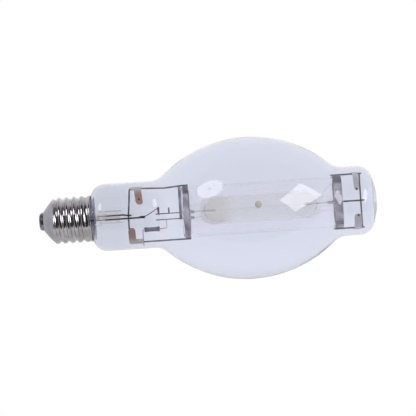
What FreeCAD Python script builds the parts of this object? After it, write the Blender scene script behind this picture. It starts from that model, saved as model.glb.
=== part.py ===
import FreeCAD, Part
import math
import os
import Sketcher
from FreeCAD import Placement, Rotation, Vector

# Shrouded metal halide lamp with a screw cap. The lamp axis is +X, the centre contact's face is at the
# origin, and the wire frame inside stands in the XZ plane. Lengths are in millimetres.

SIZES = [
    # overall
    ("lamp_length", 286.0, "contact face to dome tip"),
    # glass envelope
    ("glass_wall", 1.1, "wall of the blown glass"),
    ("neck_open", 24.0, "open end of the neck, inside the cap"),
    ("neck_tube_radius", 16.8, "part of the neck that enters the cap"),
    ("neck_root_bend", 2.5, "bend between that part and the shoulder"),
    ("shoulder_slope", 62.0, "slope of the shoulder in degrees"),
    ("shoulder_bend", 11.5, "bend between shoulder and neck"),
    ("neck_start", 56.5, "where the neck reaches its full width"),
    ("neck_radius", 28.5, "neck"),
    ("neck_bend", 15.0, "hollow bend from neck to belly"),
    ("belly_middle", 177.6, "widest place"),
    ("belly_radius", 60.15, "widest radius"),
    ("belly_curve", 105.5, "curve of the belly along the axis"),
    ("dome_bend", 18.0, "hollow bend from belly to dome tube"),
    ("dome_radius", 29.2, "dome tube"),
    ("dome_corner", 13.0, "corner of the dome"),
    ("dome_crown", 58.0, "crown of the dome"),
    ("outer_sag", 0.3, "how far the zones of the glass may leave its arcs, outside"),
    ("inner_sag", 0.9, "the same for the inside"),
    # cap
    ("contact_radius", 7.6, "centre contact"),
    ("contact_depth", 3.7, "depth of its cup"),
    ("contact_plate", 1.8, "thickness of its face"),
    ("contact_rim", 2.2, "thickness of its side"),
    ("contact_round", 2.4, "rounding of its edge"),
    ("contact_hole", 1.2, "hole for the lead wire"),
    ("solder_dip", 0.3, "solder lies this far below the face"),
    ("nose_radius", 8.6, "insulator at the contact"),
    ("cone_end", 12.3, "insulator meets the shell"),
    ("cone_radius", 18.5, "insulator there"),
    ("spigot_length", 5.0, "insulator inside the shell"),
    ("insulator_wall", 3.8, "wall of the insulator"),
    ("shell_end", 44.3, "rim of the shell"),
    ("crest_radius", 19.65, "thread crest"),
    ("root_radius", 17.95, "thread root"),
    ("thread_pitch", 6.35, "thread pitch"),
    ("thread_start", 8.05, "root of the first turn, above the axis"),
    ("thread_turns", 4.0, "turns at full depth"),
    ("crest_land", 0.5, "flat on top of the crest"),
    ("shell_wall", 0.5, "sheet of the shell"),
    ("skirt_start", 40.0, "plain skirt begins"),
    ("skirt_radius", 19.75, "plain skirt"),
    ("cement_start", 30.0, "ring of capping cement"),
    ("cement_length", 7.5, "its length"),
    # stem
    ("flare_wall", 1.4, "wall of the stem flare"),
    ("flare_rim", 1.2, "flare rim ahead of the neck end"),
    ("flare_end", 36.0, "flare narrows to its tube"),
    ("stem_tube_radius", 6.8, "tube of the flare"),
    ("press_start", 50.5, "glass press"),
    ("press_end", 69.0, "inner end of the press"),
    ("press_width", 18.0, "press across the leads"),
    ("press_depth", 10.8, "press along Z"),
    ("press_round", 3.0, "rounding of the press"),
    ("exhaust_tip", 19.0, "sealed tip of the exhaust tube"),
    ("exhaust_radius", 2.0, "exhaust tube"),
    ("lead_radius", 0.35, "thin lead wires"),
    ("lead_spread", 3.8, "leads either side of the axis"),
    ("seal_middle", 56.0, "thin leads meet the posts"),
    ("shell_lead_height", 1.2, "height of the lead to the shell"),
    ("centre_lead_drop", 2.0, "centre lead below the axis"),
    ("solder_place", 20.5, "side solder along the axis"),
    ("solder_radius", 1.2, "side solder"),
    ("solder_height", 1.1, "side solder"),
    # frame
    ("wire_radius", 0.7, "frame wires and posts"),
    ("frame_back", 75.4, "cross part of the stem frame"),
    ("wire_bend", 2.2, "bends of the frame wire"),
    ("rod_dip", 1.1, "the upper side rod sinks this much behind its spring"),
    ("live_post_end", 89.8, "end of the live post"),
    ("strap_wall", 0.5, "sheet of the straps"),
    ("stem_strap_start", 122.9, "strap at the stem end"),
    ("stem_strap_width", 4.6, "its width"),
    ("dome_strap_start", 249.0, "strap at the dome end"),
    ("dome_strap_width", 7.0, "its width"),
    ("dome_wire_start", 247.9, "side wires of the dome frame"),
    ("dome_wire_end", 274.5, "side wires of the dome frame"),
    ("dome_cross", 272.7, "cross wire of the dome frame"),
    ("cross_overhang", 0.9, "cross wire beyond the side wires"),
    ("dome_lead_end", 276.0, "end of the dome lead"),
    # springs
    ("spring_sheet", 0.3, "sheet of the springs"),
    ("spring_gap", 0.3, "springs to the glass"),
    ("neck_spring_width", 6.0, "springs in the neck"),
    ("neck_spring_foot", 9.0, "foot of the neck springs"),
    ("dome_spring_width", 4.4, "upper spring in the dome"),
    ("dome_lower_width", 6.0, "lower spring in the dome"),
    # shroud and arc tube
    ("shroud_radius", 21.5, "quartz shroud"),
    ("shroud_wall", 2.0, "its wall"),
    ("shroud_start", 121.8, "its stem end"),
    ("shroud_length", 134.8, "its length"),
    ("arc_middle", 187.5, "middle of the arc tube"),
    ("arc_half", 68.5, "middle to the end of a pinch"),
    ("body_half", 51.0, "middle to the root of the body's end"),
    ("barrel_half", 39.5, "middle to the end of the straight barrel"),
    ("arc_radius", 12.0, "arc tube"),
    ("arc_wall", 1.6, "its wall"),
    ("end_radius", 4.2, "body where the pinch begins"),
    ("pinch_width", 15.0, "pinch along Z"),
    ("pinch_rib", 2.6, "pinch at its ribs, half thickness"),
    ("pinch_web", 1.7, "pinch at its web, half thickness"),
    ("rib_width", 2.0, "ribs of the pinch"),
    ("pinch_reach", 4.0, "pinch runs into the body"),
    ("tip_place", 185.8, "tip-off along the axis"),
    ("tip_height", 14.3, "tip-off above the arc tube's axis"),
    ("tip_radius", 2.9, "root of the tip-off"),
    ("tip_turn", 12.0, "tip-off turned up in degrees"),
    ("foil_length", 7.5, "seal foils"),
    ("foil_width", 2.6, "seal foils"),
    ("foil_sheet", 0.12, "seal foils"),
    ("foil_inset", 4.5, "foil from the end of the pinch"),
    ("electrode_rod", 0.5, "electrode rod radius"),
    ("electrode_length", 19.5, "electrode from its foil"),
    ("coil_radius", 1.3, "coil on the electrode"),
    ("coil_length", 5.5, "coil on the electrode"),
    ("coil_setback", 1.5, "electrode tip beyond its coil"),
    ("probe_drop", 5.0, "starting probe below the axis"),
    ("probe_rod", 0.3, "probe radius"),
    ("probe_length", 13.0, "probe from its foil"),
    ("arc_lead_radius", 0.4, "leads of the arc tube, stem end"),
    ("arc_lead_start", 98.8, "their free ends"),
    # starting gear
    ("resistor_start", 88.6, "ceramic rod"),
    ("resistor_length", 12.8, "ceramic rod"),
    ("resistor_radius", 1.8, "ceramic rod"),
    ("resistor_drop", 12.6, "resistor below the axis"),
    ("cap_depth", 2.1, "end caps of the resistor"),
    ("cap_sheet", 0.3, "end caps of the resistor"),
    ("resistor_lead_left", 86.9, "lead that goes down to the frame"),
    ("resistor_lead_right", 107.7, "lead that goes up to the probe"),
    ("lead_tail", 3.4, "wire past its weld"),
    ("bimetal_sheet", 0.9, "bimetal strip"),
    ("bimetal_width", 3.0, "bimetal strip"),
    ("bimetal_start", 104.6, "its welded leg"),
    ("bimetal_leg", 6.0, "its welded leg"),
    ("bimetal_height", 5.4, "its standing leg"),
    ("ribbon_start", 100.7, "brown link ribbon"),
    ("ribbon_width", 1.9, "brown link ribbon"),
    ("ribbon_sheet", 0.4, "brown link ribbon"),
    ("ribbon_top", 5.9, "brown link ribbon"),
    ("clip_start", 119.0, "strip across the pinch"),
    ("clip_width", 2.3, "strip across the pinch"),
    ("clip_sheet", 0.35, "strip across the pinch"),
    ("clip_foot", 5.8, "its lower end below the axis"),
    ("return_radius", 0.3, "return wire behind the shroud"),
    ("return_offset", 27.5, "return wire from the axis"),
    ("return_start", 108.0, "its weld on the stem frame"),
    ("return_end", 264.0, "its weld on the dome frame"),
]

os.makedirs("parts", exist_ok=True)
doc = FreeCAD.newDocument("metal_halide_lamp")
dim = doc.addObject("Spreadsheet::Sheet", "dim")
for row, (alias, number, note) in enumerate(SIZES, 1):
    dim.set(f"A{row}", note)
    dim.set(f"B{row}", str(number))
    dim.setAlias(f"B{row}", alias)
doc.recompute()

AXIS = Vector(1, 0, 0)
ALONG = Rotation(Vector(0, 0, 1), AXIS)
nodes = []


def size(expression):
    """The value of an expression on the sheet's cells."""
    return float(dim.evalExpression(expression))


def finished(piece, name):
    """Labels a sub-part and puts it on the list of pieces to write."""
    piece.Label = name
    nodes.append(piece)
    return piece


def shaped(name, shape):
    """A sub-part whose shape is worked out here from the sheet."""
    piece = doc.addObject("Part::Feature", name)
    piece.Shape = shape
    piece.Placement = Placement()
    return piece


def bound(piece, **properties):
    """Ties properties of an object to expressions, such as Placement_Base_x."""
    for path, expression in properties.items():
        piece.setExpression(path.replace("_", "."), expression)
    return piece


# Sketches: closed outlines whose corners are tied to the sheet


def origin_plane(body, role):
    return next(item for item in body.Origin.OriginFeatures if item.Role == role)


def outline(body, name, role, corners):
    """A closed outline on one of the body's own planes, each corner a pair of expressions."""
    sketch = body.newObject("Sketcher::SketchObject", name)
    sketch.AttachmentSupport = [(origin_plane(body, role), "")]
    sketch.MapMode = "FlatFace"
    places = [Vector(size(across), size(up), 0) for across, up in corners]
    for place, following in zip(places, places[1:] + places[:1]):
        sketch.addGeometry(Part.LineSegment(place, following), False)
    last = len(corners)
    for index in range(last):
        sketch.addConstraint(Sketcher.Constraint("Coincident", index, 2, (index + 1) % last, 1))
    for index, (across, up) in enumerate(corners):
        for kind, expression, axis in (("DistanceX", across, -2), ("DistanceY", up, -1)):
            if expression == "0":
                sketch.addConstraint(Sketcher.Constraint("PointOnObject", index, 1, axis))
                continue
            number = sketch.addConstraint(Sketcher.Constraint(kind, -1, 1, index, 1, size(expression)))
            sketch.setExpression(f"Constraints[{number}]", expression)
    return sketch


def turned(name, corners):
    """A body turned about the lamp axis from an outline of (along, radius) corners."""
    body = doc.addObject("PartDesign::Body", name)
    sketch = outline(body, f"{name}_outline", "XZ_Plane", corners)
    turn = body.newObject("PartDesign::Revolution", f"{name}_turn")
    turn.Profile = sketch
    turn.ReferenceAxis = (sketch, ["H_Axis"])
    turn.Angle = 360
    return body


def cylinder(name, radius, length, start, across="0", up="0", sector="360"):
    """A straight round piece along the lamp axis."""
    rod = doc.addObject("Part::Cylinder", name)
    rod.Placement = Placement(Vector(), ALONG)
    rod.setExpression("Radius", radius)
    rod.setExpression("Height", length)
    rod.setExpression("Angle", sector)
    rod.setExpression("Placement.Base.x", start)
    rod.setExpression("Placement.Base.y", across)
    rod.setExpression("Placement.Base.z", up)
    return rod


def box(name, lengths, corner):
    """A rectangular piece, its three lengths and its lowest corner given as expressions."""
    block = doc.addObject("Part::Box", name)
    for side, expression in zip(("Length", "Width", "Height"), lengths):
        block.setExpression(side, expression)
    for letter, expression in zip("xyz", corner):
        block.setExpression(f"Placement.Base.{letter}", expression)
    return block


def less(name, base, tool):
    """Base with the room for another piece taken out."""
    cut = doc.addObject("Part::Cut", name)
    cut.Base = base
    cut.Tool = tool
    return cut


def joined(name, pieces):
    """Several shapes as one."""
    fuse = doc.addObject("Part::MultiFuse", name)
    fuse.Shapes = pieces
    return fuse


# Bent wire and bent strip


def wire_path(points, bend):
    """Straight runs, each bend between them taken in two short ones along its arc."""
    places = [points[0]]
    for before, corner, after in zip(points, points[1:], points[2:]):
        to_before = (before - corner).normalize()
        to_after = (after - corner).normalize()
        half_turn = (math.pi - to_before.getAngle(to_after)) / 2
        shorter = min(before.distanceToPoint(corner), after.distanceToPoint(corner))
        radius = min(bend, 0.45 * shorter / math.tan(half_turn))
        setback = radius * math.tan(half_turn)
        inward = (to_before + to_after).normalize()
        middle = corner + inward * (radius / math.cos(half_turn) - radius)
        places += [corner + to_before * setback, middle, corner + to_after * setback]
    return Part.makePolygon(places + [points[-1]])


def bent_wire(name, points, radius, bend):
    """A round wire bent along a path, mitred where its short runs meet."""
    path = wire_path([Vector(*point) for point in points], bend)
    first = path.Edges[0]
    section = Part.Wire(Part.makeCircle(radius, first.valueAt(first.FirstParameter), first.tangentAt(0)))
    return finished(shaped(name, path.makePipeShell([section], True, False, 1)), name)


def bent_strip(name, points, sheet, start, width):
    """A flat strip folded along a path in the YZ plane."""
    places = [Vector(start, across, up) for across, up in points]
    runs = [(after - before).normalize() for before, after in zip(places, places[1:])]
    sides = [AXIS.cross(run) * (sheet / 2) for run in runs]
    left = [places[0] + sides[0]]
    right = [places[0] - sides[0]]
    for place, before, after in zip(places[1:], sides, sides[1:]):
        mitre = (before + after).normalize()
        reach = (sheet / 2) / mitre.dot(before.normalize())
        left.append(place + mitre * reach)
        right.append(place - mitre * reach)
    left.append(places[-1] + sides[-1])
    right.append(places[-1] - sides[-1])
    loop = left + right[::-1]
    face = Part.Face(Part.makePolygon(loop + loop[:1]))
    return finished(shaped(name, face.extrude(AXIS * width)), name)


# Centre contact: a pressed cup over the nose of the insulator, its hole closed with solder
contact_edge = [
    (f"dim.contact_round * (1 - cos({turn} deg))",
     f"dim.contact_radius - dim.contact_round * (1 - sin({turn} deg))")
    for turn in (30, 60, 90)
]
finished(turned("centre_contact", [
    ("0", "dim.contact_hole"),
    ("0", "dim.contact_radius - dim.contact_round"),
    *contact_edge,
    ("dim.contact_depth", "dim.contact_radius"),
    ("dim.contact_depth", "dim.contact_radius - dim.contact_rim"),
    ("dim.contact_plate", "dim.contact_radius - dim.contact_rim"),
    ("dim.contact_plate", "dim.contact_hole"),
]), "centre_contact")

finished(turned("contact_solder", [
    ("dim.solder_dip", "0"),
    ("dim.solder_dip", "dim.contact_hole"),
    ("dim.contact_plate", "dim.contact_hole"),
    ("dim.contact_plate", "dim.lead_radius"),
    ("dim.solder_dip * 3", "dim.lead_radius"),
    ("dim.solder_dip * 3", "0"),
]), "contact_solder")

# Insulator: a cone of glazed ceramic whose spigot fills the end of the screw shell
finished(turned("cap_insulator", [
    ("dim.contact_plate", "dim.contact_hole"),
    ("dim.contact_plate", "dim.contact_radius - dim.contact_rim"),
    ("dim.contact_depth", "dim.contact_radius - dim.contact_rim"),
    ("dim.contact_depth", "dim.nose_radius"),
    ("dim.cone_end", "dim.cone_radius"),
    ("dim.cone_end", "dim.root_radius - dim.shell_wall"),
    ("dim.cone_end + dim.spigot_length", "dim.root_radius - dim.shell_wall"),
    ("dim.cone_end + dim.spigot_length", "dim.root_radius - dim.shell_wall - dim.insulator_wall"),
    ("dim.cone_end - 0.2 * dim.insulator_wall", "dim.root_radius - dim.shell_wall - dim.insulator_wall"),
    ("dim.cone_end - 0.2 * dim.insulator_wall", "dim.nose_radius - dim.insulator_wall"),
    ("dim.contact_depth + dim.insulator_wall", "dim.nose_radius - dim.insulator_wall"),
    ("dim.contact_depth + dim.insulator_wall", "dim.contact_hole"),
]), "cap_insulator")

# Screw shell: a right-hand knuckle thread that fades out into a plain skirt
shell = turned("screw_shell", [
    ("dim.cone_end", "dim.root_radius - dim.shell_wall"),
    ("dim.cone_end", "dim.cone_radius"),
    ("dim.cone_end + dim.crest_radius - dim.cone_radius", "dim.crest_radius"),
    ("dim.skirt_start", "dim.crest_radius"),
    ("dim.skirt_start + dim.shell_wall", "dim.skirt_radius"),
    ("dim.shell_end", "dim.skirt_radius"),
    ("dim.shell_end", "dim.skirt_radius - dim.shell_wall"),
    ("dim.skirt_start", "dim.skirt_radius - dim.shell_wall"),
    ("dim.skirt_start - 2 * dim.shell_wall", "dim.root_radius - dim.shell_wall"),
])


def thread_groove(middle):
    """The hollow between two crests, as an outline about a place along the axis."""
    crest = "dim.crest_radius"
    outside = "dim.crest_radius + 0.4 * (dim.crest_radius - dim.root_radius)"
    high = "dim.crest_radius - 0.34 * (dim.crest_radius - dim.root_radius)"
    root = "dim.root_radius"
    half = "(dim.thread_pitch - dim.crest_land) / 2"
    flank = "dim.thread_pitch * 0.285"
    floor = "dim.thread_pitch * 0.12"
    left = [(half, outside), (half, crest), (flank, high), (floor, root)]
    corners = [(f"{middle} - {reach}", up) for reach, up in left]
    return corners + [(f"{middle} + {reach}", up) for reach, up in reversed(left)]


def thread_cut(name, middle, turns, cone="0"):
    """One stretch of the thread, cut along a helix about the lamp axis."""
    groove = outline(shell, f"{name}_outline", "XZ_Plane", thread_groove(middle))
    cut = shell.newObject("PartDesign::SubtractiveHelix", name)
    cut.Profile = groove
    cut.ReferenceAxis = (groove, ["H_Axis"])
    cut.Mode = "pitch-turns-angle"
    cut.setExpression("Pitch", "dim.thread_pitch")
    cut.setExpression("Turns", turns)
    cut.setExpression("Angle", cone)
    cut.LeftHanded = False
    cut.Reversed = False
    return cut


doc.recompute()
thread_cut("thread", "dim.thread_start", "dim.thread_turns")
doc.recompute()
thread_cut(
    "thread_fade", "dim.thread_start + dim.thread_turns * dim.thread_pitch", "1",
    "atan((dim.crest_radius - dim.root_radius) / dim.thread_pitch)")
finished(shell, "screw_shell")

finished(turned("cap_cement", [
    ("dim.cement_start", "dim.neck_tube_radius"),
    ("dim.cement_start", "dim.root_radius - dim.shell_wall"),
    ("dim.cement_start + dim.cement_length", "dim.root_radius - dim.shell_wall"),
    ("dim.cement_start + dim.cement_length", "dim.neck_tube_radius"),
]), "cap_cement")


# Envelope: the outline of the glass is one chain of tangent lines and arcs on a sketch. The wall is
# turned from it in conical zones, a few to each arc, the same arcs moved in by the wall for the inside.


def glass_outline():
    """The outer outline of the envelope, every size tied to the sheet."""
    sketch = doc.addObject("Sketcher::SketchObject", "glass_outline")
    sketch.Placement = Placement(Vector(), Rotation(AXIS, 90))
    slope = math.radians(size("dim.shoulder_slope"))
    across = Vector(-math.sin(slope), math.cos(slope), 0)
    down = Vector(-math.cos(slope), -math.sin(slope), 0)
    shoulder = Vector(size("dim.neck_start"), size("dim.neck_radius - dim.shoulder_bend"), 0)
    shoulder_foot = shoulder + across * size("dim.shoulder_bend")
    root_bend = size("dim.neck_root_bend")
    root_height = size("dim.neck_tube_radius") + root_bend
    run = ((shoulder_foot + across * root_bend).y - root_height) / math.sin(slope)
    root = shoulder_foot + across * root_bend + down * run
    belly = Vector(size("dim.belly_middle"), size("dim.belly_radius - dim.belly_curve"), 0)
    crown = Vector(size("dim.lamp_length - dim.dome_crown"), 0, 0)

    def bend_centre(side, tube, bend):
        height = size(f"dim.{tube}") + size(f"dim.{bend}")
        reach = size("dim.belly_curve") + size(f"dim.{bend}")
        return Vector(belly.x + side * math.sqrt(reach ** 2 - (height - belly.y) ** 2), height, 0)

    neck_bend = bend_centre(-1, "neck_radius", "neck_bend")
    dome_bend = bend_centre(1, "dome_radius", "dome_bend")
    corner_height = size("dim.dome_radius - dim.dome_corner")
    corner_reach = math.sqrt(size("dim.dome_crown - dim.dome_corner") ** 2 - corner_height ** 2)
    corner = crown + Vector(corner_reach, corner_height, 0)

    def toward(centre, other, radius):
        return centre + (other - centre).normalize() * radius

    def arc(centre, radius, first, last):
        angles = [math.atan2(place.y - centre.y, place.x - centre.x) for place in (first, last)]
        circle = Part.Circle(centre, Vector(0, 0, 1), radius)
        return sketch.addGeometry(Part.ArcOfCircle(circle, *angles), False)

    def line(first, last):
        return sketch.addGeometry(Part.LineSegment(first, last), False)

    open_end = Vector(size("dim.neck_open"), size("dim.neck_tube_radius"), 0)
    tube_end = Vector(root.x, open_end.y, 0)
    root_end = root - across * root_bend
    neck_first = Vector(shoulder.x, size("dim.neck_radius"), 0)
    neck_last = Vector(neck_bend.x, neck_first.y, 0)
    dome_first = Vector(dome_bend.x, size("dim.dome_radius"), 0)
    dome_last = Vector(corner.x, dome_first.y, 0)
    belly_first = toward(neck_bend, belly, size("dim.neck_bend"))
    belly_last = toward(dome_bend, belly, size("dim.dome_bend"))
    crown_first = toward(crown, corner, size("dim.dome_crown"))
    tip = Vector(size("dim.lamp_length"), 0, 0)
    chain = [
        (line(open_end, tube_end), 1, 2, None),
        (arc(root, root_bend, tube_end, root_end), 1, 2, "dim.neck_root_bend"),
        (line(root_end, shoulder_foot), 1, 2, None),
        (arc(shoulder, size("dim.shoulder_bend"), neck_first, shoulder_foot), 2, 1, "dim.shoulder_bend"),
        (line(neck_first, neck_last), 1, 2, None),
        (arc(neck_bend, size("dim.neck_bend"), neck_last, belly_first), 1, 2, "dim.neck_bend"),
        (arc(belly, size("dim.belly_curve"), belly_last, belly_first), 2, 1, "dim.belly_curve"),
        (arc(dome_bend, size("dim.dome_bend"), belly_last, dome_first), 1, 2, "dim.dome_bend"),
        (line(dome_first, dome_last), 1, 2, None),
        (arc(corner, size("dim.dome_corner"), crown_first, dome_last), 2, 1, "dim.dome_corner"),
        (arc(crown, size("dim.dome_crown"), tip, crown_first), 2, 1, "dim.dome_crown"),
    ]
    for (piece, _, end, _), (following, start, _, _) in zip(chain, chain[1:]):
        sketch.addConstraint(Sketcher.Constraint("Tangent", piece, end, following, start))
    tube, _, slant, bend, neck, _, bulge, _, dome, _, end_arc = [entry[0] for entry in chain]
    for level in (tube, neck, dome):
        sketch.addConstraint(Sketcher.Constraint("Horizontal", level))
    for place in (1, 3):
        sketch.addConstraint(Sketcher.Constraint("PointOnObject", end_arc, place, -1))
    sizes = [(("Radius", piece), radius) for piece, _, _, radius in chain if radius]
    sizes += [
        (("DistanceX", -1, 1, tube, 1), "dim.neck_open"),
        (("DistanceY", -1, 1, tube, 1), "dim.neck_tube_radius"),
        (("Angle", slant), "dim.shoulder_slope * pi / 180 * 1 rad"),
        (("DistanceX", -1, 1, bend, 3), "dim.neck_start"),
        (("DistanceY", -1, 1, neck, 1), "dim.neck_radius"),
        (("DistanceX", -1, 1, bulge, 3), "dim.belly_middle"),
        (("DistanceY", bulge, 3, -1, 1), "dim.belly_curve - dim.belly_radius"),
        (("DistanceY", -1, 1, dome, 1), "dim.dome_radius"),
        (("DistanceX", -1, 1, end_arc, 1), "dim.lamp_length"),
    ]
    for entries, expression in sizes:
        start_value = math.radians(size("dim.shoulder_slope")) if entries[0] == "Angle" else size(expression)
        number = sketch.addConstraint(Sketcher.Constraint(*entries, start_value))
        sketch.setExpression(f"Constraints[{number}]", expression)
    doc.recompute()
    return sketch, chain


def glass_skin(sketch, chain, inset, sag):
    """Points along the outline, moved in by inset. An arc has as many zones as keep it within the sag."""
    points = []
    for piece, start, _, radius in chain:
        curve = sketch.Geometry[piece]
        if not radius:
            run = (curve.EndPoint - curve.StartPoint).normalize()
            points.append(curve.StartPoint + Vector(run.y, -run.x, 0) * inset)
            continue
        turn = curve.LastParameter - curve.FirstParameter
        count = max(2, math.ceil(turn / (2 * math.acos(1 - sag / curve.Radius))))
        shares = [index / count for index in range(count)]
        if start == 2:
            shares = [1 - share for share in shares]
        for share in shares:
            place = curve.value(curve.FirstParameter + turn * share)
            outward = (place - curve.Center).normalize()
            hollow = curve.Center.y > place.y
            points.append(place + outward * (inset if hollow else -inset))
    return points + [Vector(size("dim.lamp_length") - inset, 0, 0)]


outline_sketch, glass_chain = glass_outline()
outer_skin = glass_skin(outline_sketch, glass_chain, 0, size("dim.outer_sag"))
inner_skin = glass_skin(outline_sketch, glass_chain, size("dim.glass_wall"), size("dim.inner_sag"))
glass_loop = outer_skin + inner_skin[::-1]
glass_face = Part.Face(Part.makePolygon(glass_loop + glass_loop[:1]))
glass_face.rotate(Vector(), AXIS, 90)
finished(shaped("outer_envelope", glass_face.revolve(Vector(), AXIS, 360)), "outer_envelope")

# Stem: a flare sealed to the open neck, with the exhaust tube and the press that the leads pass through
stem = turned("stem_glass", [
    ("dim.neck_open - dim.flare_rim", "dim.neck_tube_radius - dim.glass_wall - dim.flare_wall"),
    ("dim.neck_open - dim.flare_rim", "dim.neck_tube_radius"),
    ("dim.neck_open", "dim.neck_tube_radius"),
    ("dim.neck_open", "dim.neck_tube_radius - dim.glass_wall - 0.2"),
    ("dim.flare_end", "dim.stem_tube_radius"),
    ("dim.press_start + dim.flare_wall", "dim.stem_tube_radius"),
    ("dim.press_start + dim.flare_wall", "0"),
    ("dim.exhaust_tip", "0"),
    ("dim.exhaust_tip", "dim.exhaust_radius / 2"),
    ("dim.exhaust_tip + dim.exhaust_radius / 2", "dim.exhaust_radius"),
    ("dim.press_start", "dim.exhaust_radius"),
    ("dim.press_start", "dim.stem_tube_radius - dim.flare_wall"),
    ("dim.flare_end", "dim.stem_tube_radius - dim.flare_wall"),
])


def slab(body, name, corners, start, length):
    """A prism along the lamp axis, its section drawn across the axis."""
    section = outline(body, f"{name}_section", "YZ_Plane", corners)
    section.AttachmentOffset = Placement(Vector(0, 0, size(start)), Rotation())
    section.setExpression("AttachmentOffset.Base.z", start)
    pad = body.newObject("PartDesign::Pad", name)
    pad.Profile = section
    pad.setExpression("Length", length)
    return pad


press_half = ("dim.press_width / 2", "dim.press_depth / 2")
press = slab(stem, "press", [
    (f"-{press_half[0]}", f"-{press_half[1]}"),
    (press_half[0], f"-{press_half[1]}"),
    (press_half[0], press_half[1]),
    (f"-{press_half[0]}", press_half[1]),
], "dim.press_start", "dim.press_end - dim.press_start")
doc.recompute()
press_edges = [
    f"Edge{index}" for index, edge in enumerate(press.Shape.Edges, 1)
    if abs(abs(edge.BoundBox.Center.y) - size(press_half[0])) < 0.01
    and abs(abs(edge.BoundBox.Center.z) - size(press_half[1])) < 0.01
]
press_round = stem.newObject("PartDesign::Fillet", "press_round")
press_round.Base = (press, press_edges)
press_round.setExpression("Radius", "dim.press_round")

# Leads: thin wires from the cap into the press, stout posts from the press into the neck
centre_lead = bent_wire("centre_lead", [
    (size("dim.seal_middle"), -size("dim.lead_spread"), -size("dim.centre_lead_drop")),
    (size("dim.neck_open - 2"), -size("dim.lead_spread"), -size("dim.centre_lead_drop")),
    (size("dim.cone_end + dim.spigot_length / 2"), 0, 0),
    (size("dim.solder_dip * 3"), 0, 0),
], size("dim.lead_radius"), size("dim.wire_bend"))
solder_foot = "dim.root_radius - dim.shell_wall - dim.solder_height - 0.2"
shell_lead = bent_wire("shell_lead", [
    (size("dim.seal_middle"), size("dim.lead_spread"), size("dim.shell_lead_height")),
    (size("dim.neck_open + 1"), size("dim.lead_spread"), size("dim.shell_lead_height")),
    (size("dim.solder_place"), size("dim.lead_spread") * 2, size("dim.shell_lead_height")),
    (size("dim.solder_place"), size(solder_foot), size("dim.shell_lead_height")),
], size("dim.lead_radius"), size("dim.wire_bend"))
side_solder = doc.addObject("Part::Cylinder", "side_solder")
side_solder.Placement = Placement(Vector(), Rotation(Vector(0, 0, 1), Vector(0, 1, 0)))
bound(side_solder, Radius="dim.solder_radius", Height="dim.solder_height",
      Placement_Base_x="dim.solder_place", Placement_Base_z="dim.shell_lead_height",
      Placement_Base_y=solder_foot)
finished(side_solder, "side_solder")

live_post = finished(cylinder(
    "live_post", "dim.wire_radius", "dim.live_post_end - dim.seal_middle", "dim.seal_middle",
    "-dim.lead_spread", "-dim.centre_lead_drop"), "live_post")
touching = size("dim.wire_radius") * 2
frame_post = bent_wire("frame_post", [
    (size("dim.seal_middle"), size("dim.lead_spread"), size("dim.shell_lead_height")),
    (size("dim.press_end + 1.5"), size("dim.lead_spread"), size("dim.shell_lead_height")),
    (size("dim.frame_back - 1.5"), touching, size("dim.shell_lead_height") / 2),
    (size("dim.frame_back + 2.6"), touching, size("dim.shell_lead_height") / 4),
], size("dim.wire_radius"), size("dim.wire_bend"))
stem_metal = joined("stem_metal", [centre_lead, shell_lead, live_post, frame_post])
finished(less("glass_stem", stem, stem_metal), "glass_stem")

# Stem frame: one bent wire, its two side rods outside the strap of the shroud
strap_radius = size("dim.shroud_radius + dim.strap_wall")
rod_height = strap_radius + size("dim.wire_radius")
rod_end = size("dim.stem_strap_start + dim.stem_strap_width")
back = size("dim.frame_back")
dip_place = back + 32
dip_end = size("dim.stem_strap_start") - 1
rod_dip = size("dim.rod_dip")
bent_wire("stem_frame_wire", [
    (rod_end, 0, rod_height),
    (dip_end, 0, rod_height),
    (dip_place, 0, rod_height - rod_dip),
    (back + 11, 0, rod_height),
    (back + 2.2, 0, rod_height),
    (back + 1.3, 0, rod_height / 2),
    (back, 0, 0),
    (back, 0, -rod_height / 2),
    (back + 0.8, 0, -rod_height),
    (rod_end, 0, -rod_height),
], size("dim.wire_radius"), size("dim.wire_bend"))


def strap(name, start, width, lap_turn):
    """A band clamped round the shroud, its lapped end welded over itself near the top."""
    band = cylinder(f"{name}_band", "dim.shroud_radius + dim.strap_wall", width, start)
    lap = cylinder(f"{name}_lap", "dim.shroud_radius + 2 * dim.strap_wall", width, start, sector=lap_turn)
    lap.Placement = Placement(Vector(size(start), 0, 0), Rotation(AXIS, 184).multiply(ALONG))
    room = cylinder(f"{name}_room", "dim.shroud_radius", width, start)
    return finished(less(name, joined(f"{name}_sheet", [band, lap]), room), name)


strap("stem_strap", "dim.stem_strap_start", "dim.stem_strap_width", "36")
strap("dome_strap", "dim.dome_strap_start", "dim.dome_strap_width", "58")

# Dome frame: two side wires, a cross wire behind them and the dome lead, welded where they cross
for name, side in (("dome_wire_upper", 1), ("dome_wire_lower", -1)):
    finished(cylinder(
        name, "dim.wire_radius", "dim.dome_wire_end - dim.dome_wire_start", "dim.dome_wire_start", "0",
        f"{side} * (dim.shroud_radius + dim.strap_wall + dim.wire_radius)"), name)
cross = doc.addObject("Part::Cylinder", "dome_cross_wire")
cross_half = "dim.shroud_radius + dim.strap_wall + dim.wire_radius + dim.cross_overhang"
bound(cross, Radius="dim.wire_radius", Height=f"2 * ({cross_half})", Placement_Base_x="dim.dome_cross",
      Placement_Base_y="2 * dim.wire_radius", Placement_Base_z=f"-({cross_half})")
finished(cross, "dome_cross_wire")


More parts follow.
